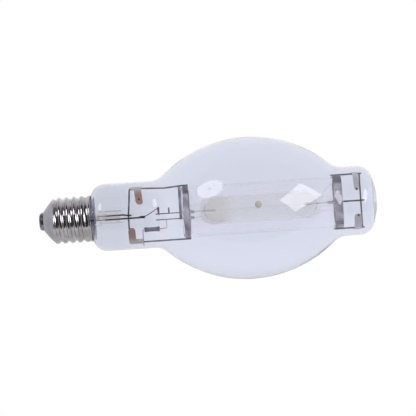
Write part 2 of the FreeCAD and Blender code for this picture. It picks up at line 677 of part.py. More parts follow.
def wall_spring(name, start, width, up, glass_radius, drop, foot_start=0, foot=0):
    """A leaf spring from a side wire round to the glass, on a wider foot along the wire if it has one."""
    inner = rod_height + size("dim.wire_radius")
    tip = size(f"{glass_radius} - dim.glass_wall - dim.spring_gap - dim.spring_sheet")
    sheet = size("dim.spring_sheet")

    def around(radius, angle):
        turn = math.radians(angle)
        return Vector(start, -radius * math.cos(turn), up * radius * math.sin(turn))

    def leaf(last_angle, length):
        share = (92 - last_angle) / (92 - drop)
        middle_angle = (92 + last_angle) / 2
        places = []
        for angle, part in ((92, 0), (middle_angle, share / 2), (last_angle, share)):
            places.append((angle, inner + (tip - inner) * part))
        under = Part.Arc(*[around(radius, angle) for angle, radius in places]).toShape()
        over = Part.Arc(*[around(radius + sheet, angle) for angle, radius in places]).toShape()
        ends = [
            Part.LineSegment(over.valueAt(over.LastParameter), under.valueAt(under.LastParameter)).toShape(),
            Part.LineSegment(under.valueAt(under.FirstParameter), over.valueAt(over.FirstParameter)).toShape(),
        ]
        face = Part.Face(Part.Wire(Part.sortEdges([under, over] + ends)[0]))
        return face.extrude(AXIS * length)

    arm = leaf(drop, width)
    tip_height = abs(around(tip, drop).z)
    corners = [
        edge for edge in arm.Edges
        if abs(edge.Length - sheet) < 0.05 and abs(abs(edge.BoundBox.Center.z) - tip_height) < 1
    ]
    arm = arm.makeFillet(0.3 * width, corners)
    if foot:
        base = leaf(62, foot)
        base.translate(AXIS * (foot_start - start))
        arm = arm.fuse(base).removeSplitter()
    return finished(shaped(name, arm), name)


neck_width = size("dim.neck_spring_width")
neck_foot = size("dim.neck_spring_foot")
wall_spring("neck_spring_upper", back + 6.6, neck_width, 1, "dim.neck_radius", 19, back + 3.6, neck_foot)
wall_spring("neck_spring_lower", back + 0.1, neck_width, -1, "dim.neck_radius", 22, back + 0.1, neck_foot)
dome_place = size("dim.dome_cross - dim.wire_radius") - 6
wall_spring("dome_spring_upper", dome_place, size("dim.dome_spring_width"), 1, "dim.dome_radius", 18)
wall_spring("dome_spring_lower", dome_place - 1, size("dim.dome_lower_width"), -1, "dim.dome_radius", 23)

# Quartz shroud: an open tube held by the two straps
shroud_outside = cylinder("shroud_outside", "dim.shroud_radius", "dim.shroud_length", "dim.shroud_start")
shroud_inside = cylinder(
    "shroud_inside", "dim.shroud_radius - dim.shroud_wall", "dim.shroud_length", "dim.shroud_start")
finished(less("quartz_shroud", shroud_outside, shroud_inside), "quartz_shroud")

# Arc tube: a quartz barrel with round ends, a ribbed pinch at each end and a tip-off on its side
end_shape = [("0", "0"), ("0", "1"), ("0.22", "0.62"), ("0.52", "0.26"), ("1", "0")]


def body_end(side, radius, smallest):
    """Corners of one rounded end, from the pinch to the barrel."""
    corners = []
    for along, drop in end_shape[1:]:
        reach = f"dim.arc_middle + {side} * (dim.body_half - {along} * (dim.body_half - dim.barrel_half))"
        corners.append((reach, f"{radius} - {drop} * ({radius} - {smallest})"))
    return corners


def barrel(radius, smallest, shorter):
    left = body_end(-1, radius, smallest)
    right = body_end(1, radius, smallest)
    corners = [(f"{left[0][0]} + {shorter}", "0")]
    corners += [(f"{along} + {shorter}", up) for along, up in left]
    corners += [(f"{along} - {shorter}", up) for along, up in right[::-1]]
    return corners + [(f"{right[0][0]} - {shorter}", "0")]


arc_glass = turned("arc_glass", barrel("dim.arc_radius", "dim.end_radius", "0"))
pinch_half = "dim.pinch_width / 2"
web_half = "(dim.pinch_width / 2 - dim.rib_width)"
quarter = [(pinch_half, "dim.pinch_rib"), (web_half, "dim.pinch_rib"), (web_half, "dim.pinch_web")]
pinch_section = [(depth, f"-{height}") for height, depth in quarter]
pinch_section += [(depth, height) for height, depth in quarter[::-1]]
pinch_section += [(f"-{depth}", height) for height, depth in quarter]
pinch_section += [(f"-{depth}", f"-{height}") for height, depth in quarter[::-1]]
pinch_length = "dim.arc_half - dim.body_half + dim.pinch_reach"
slab(arc_glass, "stem_pinch", pinch_section, "dim.arc_middle - dim.arc_half", pinch_length)
slab(arc_glass, "dome_pinch", pinch_section,
     "dim.arc_middle + dim.body_half - dim.pinch_reach", pinch_length)
tip = arc_glass.newObject("PartDesign::AdditiveCone", "tip_off")
tip_turn = Rotation(AXIS, 90 - size("dim.tip_turn"))
tip_seat = size("dim.arc_radius - 0.6 * dim.arc_wall")
tip.Placement = Placement(
    Vector(size("dim.tip_place"), 0, 0) + tip_turn.multVec(Vector(0, 0, tip_seat)), tip_turn)
tip.setExpression("Radius1", "dim.tip_radius")
tip.setExpression("Radius2", "dim.tip_radius * 0.4")
tip.setExpression("Height", "dim.tip_height - dim.arc_radius + 0.6 * dim.arc_wall")
hollow = outline(arc_glass, "hollow_outline", "XZ_Plane", barrel(
    "(dim.arc_radius - dim.arc_wall)", "(dim.end_radius - 0.6 * dim.arc_wall)", "1.6 * dim.arc_wall"))
groove = arc_glass.newObject("PartDesign::Groove", "hollow")
groove.Profile = hollow
groove.ReferenceAxis = (hollow, ["H_Axis"])
groove.Angle = 360

# Electrodes, seal foils and leads: one line of three pieces in each seal
stem_pinch_end = "dim.arc_middle - dim.arc_half"
dome_pinch_end = "dim.arc_middle + dim.arc_half"


def foil(name, start, up):
    """A thin foil in the pinch, across the view."""
    return finished(box(
        name, ("dim.foil_length", "dim.foil_sheet", "dim.foil_width"),
        (start, "-dim.foil_sheet / 2", f"{up} - dim.foil_width / 2")), name)


def electrode(name, start, side):
    """A tungsten rod with a close coil near its tip, from its foil into the arc tube."""
    tip_place = f"{start} + {side} * dim.electrode_length"
    coil_end = f"{tip_place} - {side} * dim.coil_setback"
    coil_start = f"{coil_end} - {side} * dim.coil_length"
    return finished(turned(name, [
        (start, "0"),
        (start, "dim.electrode_rod"),
        (coil_start, "dim.electrode_rod"),
        (coil_start, "dim.coil_radius"),
        (coil_end, "dim.coil_radius"),
        (coil_end, "dim.electrode_rod"),
        (tip_place, "dim.electrode_rod"),
        (tip_place, "0"),
    ]), name)


stem_foil_start = f"{stem_pinch_end} + dim.foil_inset"
dome_foil_start = f"{dome_pinch_end} - dim.foil_inset - dim.foil_length"
sealed = [
    foil("stem_seal_foil", stem_foil_start, "0"),
    foil("probe_seal_foil", stem_foil_start, "-dim.probe_drop"),
    foil("dome_seal_foil", dome_foil_start, "0"),
    electrode("stem_electrode", f"{stem_foil_start} + dim.foil_length", "1"),
    electrode("dome_electrode", dome_foil_start, "-1"),
    finished(cylinder(
        "starting_probe", "dim.probe_rod", "dim.probe_length", f"{stem_foil_start} + dim.foil_length",
        "0", "-dim.probe_drop"), "starting_probe"),
    finished(cylinder(
        "stem_arc_lead", "dim.arc_lead_radius", f"{stem_foil_start} - dim.arc_lead_start",
        "dim.arc_lead_start"), "stem_arc_lead"),
    finished(cylinder(
        "probe_lead", "dim.arc_lead_radius", f"{stem_foil_start} - dim.arc_lead_start",
        "dim.arc_lead_start", "0", "-dim.probe_drop"), "probe_lead"),
    finished(cylinder(
        "dome_lead", "dim.wire_radius", f"dim.dome_lead_end - ({dome_pinch_end} - dim.foil_inset)",
        f"{dome_pinch_end} - dim.foil_inset"), "dome_lead"),
]
finished(less("arc_tube", arc_glass, joined("sealed_metal", sealed)), "arc_tube")

# Strip across the stem pinch, bent back and welded under the upper side rod
clip_sheet = size("dim.clip_sheet")
clip_front = -size("dim.pinch_rib") - clip_sheet / 2
dip_left = (dip_end - size("dim.clip_start")) / (dip_end - dip_place)
rod_under = rod_height - rod_dip * dip_left - size("dim.wire_radius")
bent_strip("pinch_clip", [
    (clip_front, -size("dim.clip_foot")),
    (clip_front, size("dim.pinch_width") / 2 + 1.5),
    (0, rod_under - 1.2),
    (0, rod_under),
], clip_sheet, size("dim.clip_start"), size("dim.clip_width"))

# Live link: a wire from the live post and a brown ribbon down to the arc tube's lead
link_front = -size("dim.arc_lead_radius") - size("dim.ribbon_sheet")
lead_radius = size("dim.lead_radius")
post_top = -size("dim.centre_lead_drop") + size("dim.wire_radius") + lead_radius
bent_wire("live_jumper", [
    (size("dim.live_post_end - 5"), -size("dim.lead_spread"), post_top),
    (size("dim.live_post_end + 0.8"), -size("dim.lead_spread"), post_top),
    (size("dim.ribbon_start + dim.ribbon_width / 2"), link_front - lead_radius, size("dim.ribbon_top - 0.6")),
], lead_radius, size("dim.wire_bend"))
ribbon_foot = "dim.arc_lead_radius * 2"
finished(box(
    "live_ribbon", ("dim.ribbon_width", "dim.ribbon_sheet", f"dim.ribbon_top + {ribbon_foot}"),
    ("dim.ribbon_start", "-dim.arc_lead_radius - dim.ribbon_sheet", f"-{ribbon_foot}")), "live_ribbon")

# Bimetal strip of the starting switch: one leg welded along the lead, one standing up
bimetal_front = "-dim.arc_lead_radius - dim.bimetal_width"
bimetal_legs = [
    box("bimetal_foot", ("dim.bimetal_leg", "dim.bimetal_width", "dim.bimetal_sheet"),
        ("dim.bimetal_start", bimetal_front, "-dim.bimetal_sheet / 2")),
    box("bimetal_stand", ("dim.bimetal_sheet", "dim.bimetal_width", "dim.bimetal_height"),
        ("dim.bimetal_start + dim.bimetal_leg - dim.bimetal_sheet", bimetal_front, "-dim.bimetal_sheet / 2")),
]
finished(joined("bimetal_strip", bimetal_legs), "bimetal_strip")

# Starting resistor: a ceramic rod with pressed end caps and two leads
resistor_front = "-dim.wire_radius - dim.lead_radius"
resistor_end = "dim.resistor_start + dim.resistor_length"


def on_resistor(body, name):
    body.setExpression("Placement.Base.y", resistor_front)
    body.setExpression("Placement.Base.z", "-dim.resistor_drop")
    return finished(body, name)


on_resistor(turned("resistor_body", [
    ("dim.resistor_start", "0"),
    ("dim.resistor_start", "dim.resistor_radius"),
    (resistor_end, "dim.resistor_radius"),
    (resistor_end, "0"),
]), "resistor_body")
for name, place, side in (
        ("resistor_cap_left", "dim.resistor_start", "1"), ("resistor_cap_right", resistor_end, "-1")):
    on_resistor(turned(name, [
        (place, "dim.lead_radius"),
        (place, "dim.resistor_radius"),
        (f"{place} + {side} * dim.cap_depth", "dim.resistor_radius"),
        (f"{place} + {side} * dim.cap_depth", "dim.resistor_radius + dim.cap_sheet"),
        (f"{place} - {side} * dim.cap_sheet", "dim.resistor_radius + dim.cap_sheet"),
        (f"{place} - {side} * dim.cap_sheet", "dim.lead_radius"),
    ]), name)
front = size(resistor_front)
drop = -size("dim.resistor_drop")
bent_wire("resistor_lead_left", [
    (size("dim.resistor_start"), front, drop),
    (size("dim.resistor_lead_left"), front, drop),
    (size("dim.resistor_lead_left"), front, -rod_height - size("dim.lead_tail")),
], lead_radius, 0.8)
probe_front = -size("dim.arc_lead_radius + dim.lead_radius")
bent_wire("resistor_lead_right", [
    (size(resistor_end), front, drop),
    (size(resistor_end) + 2.2, front, drop),
    (size("dim.resistor_lead_right"), probe_front, drop + 0.5),
    (size("dim.resistor_lead_right"), probe_front, -size("dim.probe_drop - 0.8")),
], lead_radius, 0.8)

# Return wire: from the stem frame to the dome frame, round the back of the shroud
beside = size("dim.wire_radius + dim.return_radius")
offset = size("dim.return_offset")
first = size("dim.return_start")
last = size("dim.return_end")
bent_wire("return_wire", [
    (first, beside, rod_height),
    (first + 6, beside, rod_height),
    (first + 16, 0.6 * offset, 0.7 * offset),
    (first + 32, offset, 0),
    (last - 30, offset, 0),
    (last - 14, 0.6 * offset, 0.7 * offset),
    (last - 3, beside, rod_height),
    (last, beside, rod_height),
], size("dim.return_radius"), 6)

# Every object has to have come out whole before anything is written
doc.recompute()
for item in doc.Objects:
    if "Invalid" in item.State or "Error" in item.State:
        raise RuntimeError(f"{item.Label} failed: {item.State}")
for piece in nodes:
    if piece.Shape.isNull() or not piece.Shape.isValid() or len(piece.Shape.Solids) != 1:
        raise RuntimeError(f"{piece.Label} is not one valid solid")
for piece in nodes:
    piece.Shape.exportStep(f"parts/{piece.Label}.step")
print(len(nodes), "pieces written")
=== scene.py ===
from math import atan2, ceil, cos, pi, radians, sin, sqrt, tan

import bmesh
import bpy
from mathutils import Matrix, Vector


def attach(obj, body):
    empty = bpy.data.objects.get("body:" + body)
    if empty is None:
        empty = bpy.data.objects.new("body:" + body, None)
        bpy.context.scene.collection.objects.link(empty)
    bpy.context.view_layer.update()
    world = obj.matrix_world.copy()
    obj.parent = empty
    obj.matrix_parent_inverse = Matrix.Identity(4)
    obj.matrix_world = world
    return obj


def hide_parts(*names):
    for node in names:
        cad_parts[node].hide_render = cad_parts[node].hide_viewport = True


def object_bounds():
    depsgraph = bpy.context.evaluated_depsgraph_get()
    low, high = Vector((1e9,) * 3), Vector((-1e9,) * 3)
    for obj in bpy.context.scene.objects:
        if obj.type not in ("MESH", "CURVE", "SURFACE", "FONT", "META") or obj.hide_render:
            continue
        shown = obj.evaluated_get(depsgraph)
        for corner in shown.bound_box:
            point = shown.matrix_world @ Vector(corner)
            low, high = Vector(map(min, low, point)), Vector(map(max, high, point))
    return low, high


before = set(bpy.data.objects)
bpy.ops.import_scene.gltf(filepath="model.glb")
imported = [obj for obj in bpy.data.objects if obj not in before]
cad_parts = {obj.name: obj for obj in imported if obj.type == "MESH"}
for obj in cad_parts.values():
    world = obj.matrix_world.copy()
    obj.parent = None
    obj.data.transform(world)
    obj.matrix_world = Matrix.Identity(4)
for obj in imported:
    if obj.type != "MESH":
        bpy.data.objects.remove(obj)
cad_box = [list(corner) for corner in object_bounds()]


# Arc tube: a blown quartz barrel, pressed flat at both ends over its foils, with the sealed tip of its
# filling tube on the side. A thin cream coat keeps its ends hot, the stem end most. Lengths of shapes are
# in millimetres in every section, and lamp_mesh turns them into the metres of the frame and materials.


class Shade:
    """A value in a material. Arithmetic on it adds Math nodes, and node() adds any other node."""

    def __init__(self, tree, socket):
        self.tree = tree
        self.socket = socket

    def node(self, kind, settings=None, sockets=None, output=0):
        """Another node of the same material, its settings made before its sockets are filled."""
        node = self.tree.nodes.new("ShaderNode" + kind)
        for name, value in (settings or {}).items():
            if name == "stops":
                ramp = node.color_ramp.elements
                while len(ramp) < len(value):
                    ramp.new(0.5)
                for element, (position, colour) in zip(ramp, value):
                    element.position = position
                    element.color = colour
            else:
                setattr(node, name, value)
        for name, value in (sockets or {}).items():
            if isinstance(value, Shade):
                self.tree.links.new(value.socket, node.inputs[name])
            else:
                node.inputs[name].default_value = value
        return Shade(self.tree, node.outputs[output] if node.outputs else None)

    def math(self, operation, *values):
        """A Math node over the values, of which one at least is a Shade."""
        return self.node("Math", {"operation": operation}, dict(enumerate(values)))

    def __add__(self, other):
        return self.math("ADD", self, other)

    def __sub__(self, other):
        return self.math("SUBTRACT", self, other)

    def __rsub__(self, other):
        return self.math("SUBTRACT", other, self)

    def __mul__(self, other):
        return self.math("MULTIPLY", self, other)

    def __abs__(self):
        return self.math("ABSOLUTE", self)

    __radd__ = __add__
    __rmul__ = __mul__

    def rise(self, low, high):
        """A smooth step from 0 at low to 1 at high."""
        settings = {"interpolation_type": "SMOOTHSTEP"}
        return self.node("MapRange", settings, {"Value": self, "From Min": low, "From Max": high})

    def mix(self, first, second):
        """A colour between two, with this value as the share of the second."""
        return self.node("Mix", {"data_type": "RGBA"}, {0: self, 6: first, 7: second}, 2)

    def shaders(self, first, second):
        """A shader between two, with this value as the share of the second."""
        return self.node("MixShader", sockets={0: self, 1: first, 2: second})

    def noise(self, scale, detail=3.0, stretch=(1, 1, 1)):
        """Clouds of a size in 1/m, drawn out along the directions where stretch is small."""
        place = self.node("VectorMath", {"operation": "MULTIPLY"}, {0: self, 1: stretch})
        return self.node("TexNoise", sockets={"Vector": place, "Scale": scale, "Detail": detail})

    def along(self, axis):
        """One coordinate of a place, in metres."""
        return self.node("SeparateXYZ", sockets={0: self}, output=axis)

    def mark(self, along, up, radius):
        """A round mark of a radius, at a place along and above the lamp axis, in metres."""
        flat = self.node("VectorMath", {"operation": "MULTIPLY"}, {0: self, 1: (1, 0, 1)})
        apart = flat.node("VectorMath", {"operation": "DISTANCE"}, {0: flat, 1: (along, 0, up)}, "Value")
        return 1 - apart.rise(radius * 0.7, radius)

    def relief(self, strength, depth):
        """A normal from this value as a height, depth in metres."""
        return self.node("Bump", sockets={"Strength": strength, "Distance": depth, "Height": self})


def open_finish(name):
    """A new material and the place on the lamp that its nodes start from."""
    material = bpy.data.materials.new(name)
    material.use_nodes = True
    tree = material.node_tree
    tree.nodes.clear()
    return material, Shade(tree, tree.nodes.new("ShaderNodeTexCoord").outputs["Object"])


def close_finish(place, shader):
    """Makes the shader the surface of the material."""
    place.node("OutputMaterial", sockets={"Surface": shader})


def tone(red, green, blue):
    """A colour written in the 0 to 255 steps of a picture."""
    steps = [value / 255 for value in (red, green, blue)]
    return tuple(s / 12.92 if s <= 0.04045 else ((s + 0.055) / 1.055) ** 2.4 for s in steps) + (1.0,)


def clear_glass(place, tint, index, shadow, **sockets):
    """Clear glass of a tint and refractive index that lets the studio light reach what it encloses."""
    glass = place.node("BsdfPrincipled", sockets={
        "Base Color": tint, "Roughness": 0.0, "IOR": index, "Transmission Weight": 1.0, **sockets})
    open_air = place.node("BsdfTransparent", sockets={"Color": (shadow, shadow, shadow, 1)})
    from_lamp = place.node("LightPath", output="Is Shadow Ray")
    scattered = place.node("LightPath", output="Is Diffuse Ray")
    return (from_lamp + scattered).shaders(glass, open_air)


def lamp_mesh(name, *parts):
    """A mesh from parts, each a list of rings of points with quads from ring to ring and from the last
    to the first. A ring of one point closes an end."""
    points = []
    faces = []
    for rings in parts:
        starts = []
        for ring in rings:
            starts.append(len(points))
            points += [Vector(point) * 0.001 for point in ring]
        for index, ring in enumerate(rings):
            following = rings[(index + 1) % len(rings)]
            here, there = starts[index], starts[(index + 1) % len(rings)]
            count = max(len(ring), len(following))
            if count == 1:
                continue
            for one in range(count):
                two = (one + 1) % count
                if len(ring) == 1:
                    faces.append((here, there + two, there + one))
                elif len(following) == 1:
                    faces.append((here + one, here + two, there))
                else:
                    faces.append((here + one, here + two, there + two, there + one))
    mesh = bpy.data.meshes.new(name)
    mesh.from_pydata(points, [], faces)
    return mesh


LONG_RUN = 1.5
END_RING = 0.25
RING_GAP = 4


def turned(outline, sides=96):
    """Rings about the lamp axis from an outline of (along, radius) points, its outside first. A long run
    has rings close to its ends as well, so that its shading stays straight, and every few millimetres."""
    turns = [2 * pi * step / sides for step in range(sides)]
    places = []
    for one, two in zip(outline, outline[1:] + outline[:1]):
        places.append(one)
        run = (Vector(two) - Vector(one)).length
        if run > LONG_RUN and max(one[1], two[1]) > 0:
            parts = ceil(run / RING_GAP)
            even = [part / parts for part in range(1, parts)]
            for share in [END_RING / run] + even + [1 - END_RING / run]:
                places.append(tuple(Vector(one).lerp(Vector(two), share)))
    rings = []
    for along, radius in places:
        around = turns if radius > 1e-6 else [0]
        rings.append([(along, radius * cos(turn), radius * sin(turn)) for turn in around])
    return rings


def fit(mesh, materials, slot, *nodes, crease=35):
    """Makes the mesh a piece of the lamp, in place of its CAD nodes."""
    piece = bpy.data.objects.new(mesh.name, mesh)
    bpy.context.scene.collection.objects.link(piece)
    for material in materials:
        mesh.materials.append(material)
    mesh.shade_smooth()
    mesh.set_sharp_from_angle(angle=radians(crease))
    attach(piece, "root")
    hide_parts(*nodes)
    return piece


ARC_MIDDLE = 187.5
BARREL_HALF = 39.5
BODY_HALF = 51.0
PINCH_HALF = 68.5
ARC_RADIUS = 12.0
PINCH_SIDE = 7.5
PINCH_DEPTH = 1.7
RIB_HEIGHT = 0.9
HOLLOW_HALF = 37.0
HOLLOW_CAP = 10.5
HOLLOW_RADIUS = 10.4
TIP_ALONG = 185.8
TIP_TURN = radians(78)


def arc_tube_ring(along, sides=96):
    """The outside of the arc tube across its axis: round in the barrel, flat with two ribs in the pinch."""
    beyond = min(1.0, max(0.0, (abs(along) - BARREL_HALF) / (BODY_HALF - BARREL_HALF)))
    fall = beyond ** 1.85
    power = 2 / (2 + 5 * fall)
    ring = []
    for step in range(sides):
        turn = 2 * pi * step / sides
        across = abs(sin(turn)) ** power
        rib = min(1.0, max(0.0, (across - 0.6) / 0.16))
        flat = PINCH_DEPTH + RIB_HEIGHT * rib * rib * (3 - 2 * rib)
        depth = ARC_RADIUS + (flat - ARC_RADIUS) * fall
        height = ARC_RADIUS + (PINCH_SIDE - ARC_RADIUS) * fall
        ring.append((
            ARC_MIDDLE + along,
            depth * abs(cos(turn)) ** power * (1 if cos(turn) > 0 else -1),
            height * across * (1 if sin(turn) > 0 else -1)))
    return ring


def cavity_radius(along):
    """Radius of the arc tube's hollow: straight, with an elliptic cap at each end."""
    beyond = max(0.0, (abs(along) - HOLLOW_HALF) / HOLLOW_CAP)
    return HOLLOW_RADIUS * sqrt(max(0.0, 1 - beyond ** 2))


half_stations = [0, 4, 8, 12, 16, 20, 24, 28, 32, 36, BARREL_HALF]
half_stations += [BARREL_HALF + step * 0.75 for step in range(1, 16)]
half_stations += [BODY_HALF + 1, 54, 57, 60, 64, PINCH_HALF - 1.2, PINCH_HALF - 0.6]
stations = [-along for along in half_stations[:0:-1]] + half_stations
outside = [arc_tube_ring(along) for along in stations]
end_rings = []
for side in (-1, 1):
    flat_end = arc_tube_ring(side * PINCH_HALF)
    end_rings.append([(x, y * 0.8, z * 0.95) for x, y, z in flat_end])
outside = [[(ARC_MIDDLE - PINCH_HALF, 0, 0)], end_rings[0]] + outside
outside += [end_rings[1], [(ARC_MIDDLE + PINCH_HALF, 0, 0)]]
hollow_half = [0, 12, 24, 34, HOLLOW_HALF]
hollow_half += [HOLLOW_HALF + HOLLOW_CAP * sin(pi / 2 * step / 12) for step in range(1, 13)]
hollow_stations = [-along for along in hollow_half[:0:-1]] + hollow_half
hollow = turned([(ARC_MIDDLE + along, cavity_radius(along)) for along in hollow_stations])[::-1]

# the sealed tip of the filling tube: a stub that faces the front, turned up a little
tip_place = Matrix.Translation((TIP_ALONG, 0, 0)) @ Matrix.Rotation(TIP_TURN, 4, "X")
tip_outline = [(11.0, 2.9), (11.9, 2.7), (12.5, 2.25), (13.2, 2.2), (13.8, 1.9), (14.15, 1.2), (14.3, 0.0)]
stub = []
for height, radius in [(11.0, 0.0)] + tip_outline:
    turns = [2 * pi * step / 32 for step in range(32)] if radius else [0]
    stub.append([tip_place @ Vector((radius * cos(turn), radius * sin(turn), height)) for turn in turns])
stub_faces = (len(stub) - 1) * len(stub[1])

quartz, place = open_finish("coated_quartz")
beyond = place.along("X") - ARC_MIDDLE * 0.001
stem_coat = (0 - beyond).rise(0.018, 0.040) * 0.2
dome_coat = beyond.rise(0.020, 0.036) * 0.04
coat = (stem_coat + dome_coat) * (1 - abs(beyond).rise(0.047, 0.0525))
flow = place.noise(180, 2, (0.12, 1, 1))
cloud = place.noise(420, 4)
quartz_tint = flow.mix((0.985, 0.985, 0.965, 1), (0.95, 0.95, 0.92, 1))
clear = clear_glass(place, quartz_tint, index=1.1, shadow=0.94)
white = place.node("BsdfPrincipled", sockets={
    "Base Color": cloud.rise(0.35, 0.7).mix(tone(238, 232, 222), tone(226, 220, 214)), "Roughness": 0.45})
close_finish(place, coat.shaders(clear, white))

amber, place = open_finish("amber_tip")
fill = place.noise(700, 3)
stained = fill.rise(0.35, 0.65).mix(tone(244, 238, 216), tone(214, 198, 158))
tip_glass = place.node("BsdfPrincipled", sockets={
    "Base Color": stained, "Roughness": 0.12, "IOR": 1.46, "Transmission Weight": 0.5})
close_finish(place, tip_glass)

mesh = lamp_mesh("arc_tube_quartz", outside, hollow, stub)
fit(mesh, [quartz, amber], "quartz", "arc_tube", crease=60)
for polygon in list(mesh.polygons)[-stub_faces:]:
    polygon.material_index = 1


# Electrodes: tungsten rods that pass from their seal foils into the arc tube, each with a coil of
# tungsten wire wound close on it behind the tip. The starting probe is a thin rod beside one of them.


def rounded(points, bend, steps=6):
    """The points with their corners taken round."""
    places = [Vector(point) for point in points]
    path = [places[0]]
    for before, corner, after in zip(places, places[1:], places[2:]):
        to_before, to_after = before - corner, after - corner
        half_turn = (pi - to_before.angle(to_after)) / 2
        setback = min(bend * tan(half_turn), 0.45 * min(to_before.length, to_after.length))
        first = corner + to_before.normalized() * setback
        last = corner + to_after.normalized() * setback
        for step in range(steps + 1):
            share = step / steps
            path.append(first * (1 - share) ** 2 + corner * 2 * share * (1 - share) + last * share ** 2)
    return path + [places[-1]]


CUT_RADIUS = 0.75
CUT_DEPTH = 0.3


def wire(path, radius, sides=16):
    """Rings along a round wire, its cut ends chamfered."""
    path = [Vector(point) for point in path]
    for end, inward in ((0, 1), (-1, -2)):
        held = path[end] + (path[inward] - path[end]).normalized() * radius
        path.insert(1 if end == 0 else len(path) - 1, held)
    runs = [(after - before).normalized() for before, after in zip(path, path[1:])]
    headings = [runs[0]] + [(one + two).normalized() for one, two in zip(runs, runs[1:])] + [runs[-1]]
    side = headings[0].orthogonal().normalized()
    rings = []
    for place, heading in zip(path, headings):
        side = (side - heading * side.dot(heading)).normalized()
        across = heading.cross(side)
        turns = [2 * pi * step / sides for step in range(sides)]
        spokes = [side * cos(turn) + across * sin(turn) for turn in turns]
        ring = [place + spoke * radius for spoke in spokes]
        if len(rings) == 0:
            rings += [[place], [place + spoke * radius * CUT_RADIUS for spoke in spokes]]
            ring = [point + heading * radius * CUT_DEPTH for point in ring]
        rings.append(ring)
    rings[-1] = [point - heading * radius * CUT_DEPTH for point in rings[-1]]
    return rings + [[path[-1] + spoke * radius * CUT_RADIUS for spoke in spokes], [path[-1]]]


def metal(name, clean, dull, rough, lines=(1, 1, 1), size=350, relief=0.15):
    """Bare metal with cloudy tarnish and fine drawing marks, which lie where lines is small."""
    material, place = open_finish(name)
    tarnish = place.noise(size * 0.35, 4).rise(0.35, 0.68)
    marks = place.noise(size * 4, 3, lines)
    close_finish(place, place.node("BsdfPrincipled", sockets={
        "Base Color": tarnish.mix(clean, dull), "Metallic": 1.0,
        "Roughness": rough + tarnish * 0.16 + marks * 0.08, "Normal": marks.relief(relief, 0.00008)}))
    return material


ROD_LENGTH = 19.5
COIL_FROM = 12.5
COIL_TURNS = 7
COIL_PITCH = 0.79
COIL_STEPS = 14
COIL_RADIUS = 0.9
tungsten = metal("tungsten_rod", tone(232, 230, 234), tone(196, 194, 198), 0.34)
STEM_FOIL_END = 131.0
DOME_FOIL_END = 244.0
for name, foil_end, way in (("stem_electrode", STEM_FOIL_END, 1), ("dome_electrode", DOME_FOIL_END, -1)):
    rod = [(foil_end, 0, 0), (foil_end + way * ROD_LENGTH, 0, 0)]
    coil_start = foil_end + way * COIL_FROM
    coil = []
    for step in range(COIL_STEPS * COIL_TURNS + 1):
        turn = step / COIL_STEPS
        coil.append((
            coil_start + way * turn * COIL_PITCH,
            COIL_RADIUS * cos(2 * pi * turn),
            COIL_RADIUS * sin(2 * pi * turn)))
    fit(lamp_mesh(name + "_wound", wire(rod, 0.5), wire(coil, 0.4, 10)), [tungsten], "tungsten", name)
PROBE_HEIGHT = -5
probe = wire([(STEM_FOIL_END, 0, PROBE_HEIGHT), (144, 0, PROBE_HEIGHT)], 0.3, 12)
fit(lamp_mesh("starting_probe_rod", probe), [tungsten], "tungsten", "starting_probe")


# Seal foils: strips of molybdenum ribbon pressed into the quartz. Each is welded to its electrode and
# carries the current through the pinch without a leak.


def finish_node(name, material):
    """Gives a CAD node that stays in view its finish."""
    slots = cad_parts[name].data.materials
    slots.clear()
    slots.append(material)


foil_metal = metal("seal_foil_metal", tone(204, 200, 204), tone(160, 154, 156), 0.3, size=900)
for name in ("stem_seal_foil", "probe_seal_foil", "dome_seal_foil"):
    finish_node(name, foil_metal)


# Shroud: an open quartz tube round the arc tube, its ends melted smooth. It holds the pieces if the
# arc tube bursts, and two steel straps clamp it to the frame.

ripple_glass, place = open_finish("shroud_quartz")
draw_lines = place.noise(150, 2, (0.05, 1, 1))
shroud_tint = draw_lines.mix((1, 0.99, 0.995, 1), (0.98, 0.975, 0.98, 1))
close_finish(place, clear_glass(place, shroud_tint, index=1.4, shadow=0.97))
start, end, outer, inner = 121.8, 256.6, 21.5, 19.5
shroud_wall = [(start + 0.35, outer), (end - 0.35, outer), (end - 0.1, outer - 0.35), (end, outer - 1.0)]
shroud_wall += [(end - 0.1, inner + 0.35), (end - 0.35, inner), (start + 0.35, inner)]
shroud_wall += [(start + 0.1, inner + 0.35), (start, inner + 1.0), (start + 0.1, outer - 0.35)]
mesh = lamp_mesh("shroud_tube", turned(shroud_wall, 240))
fit(mesh, [ripple_glass], "quartz", "quartz_shroud", crease=60)
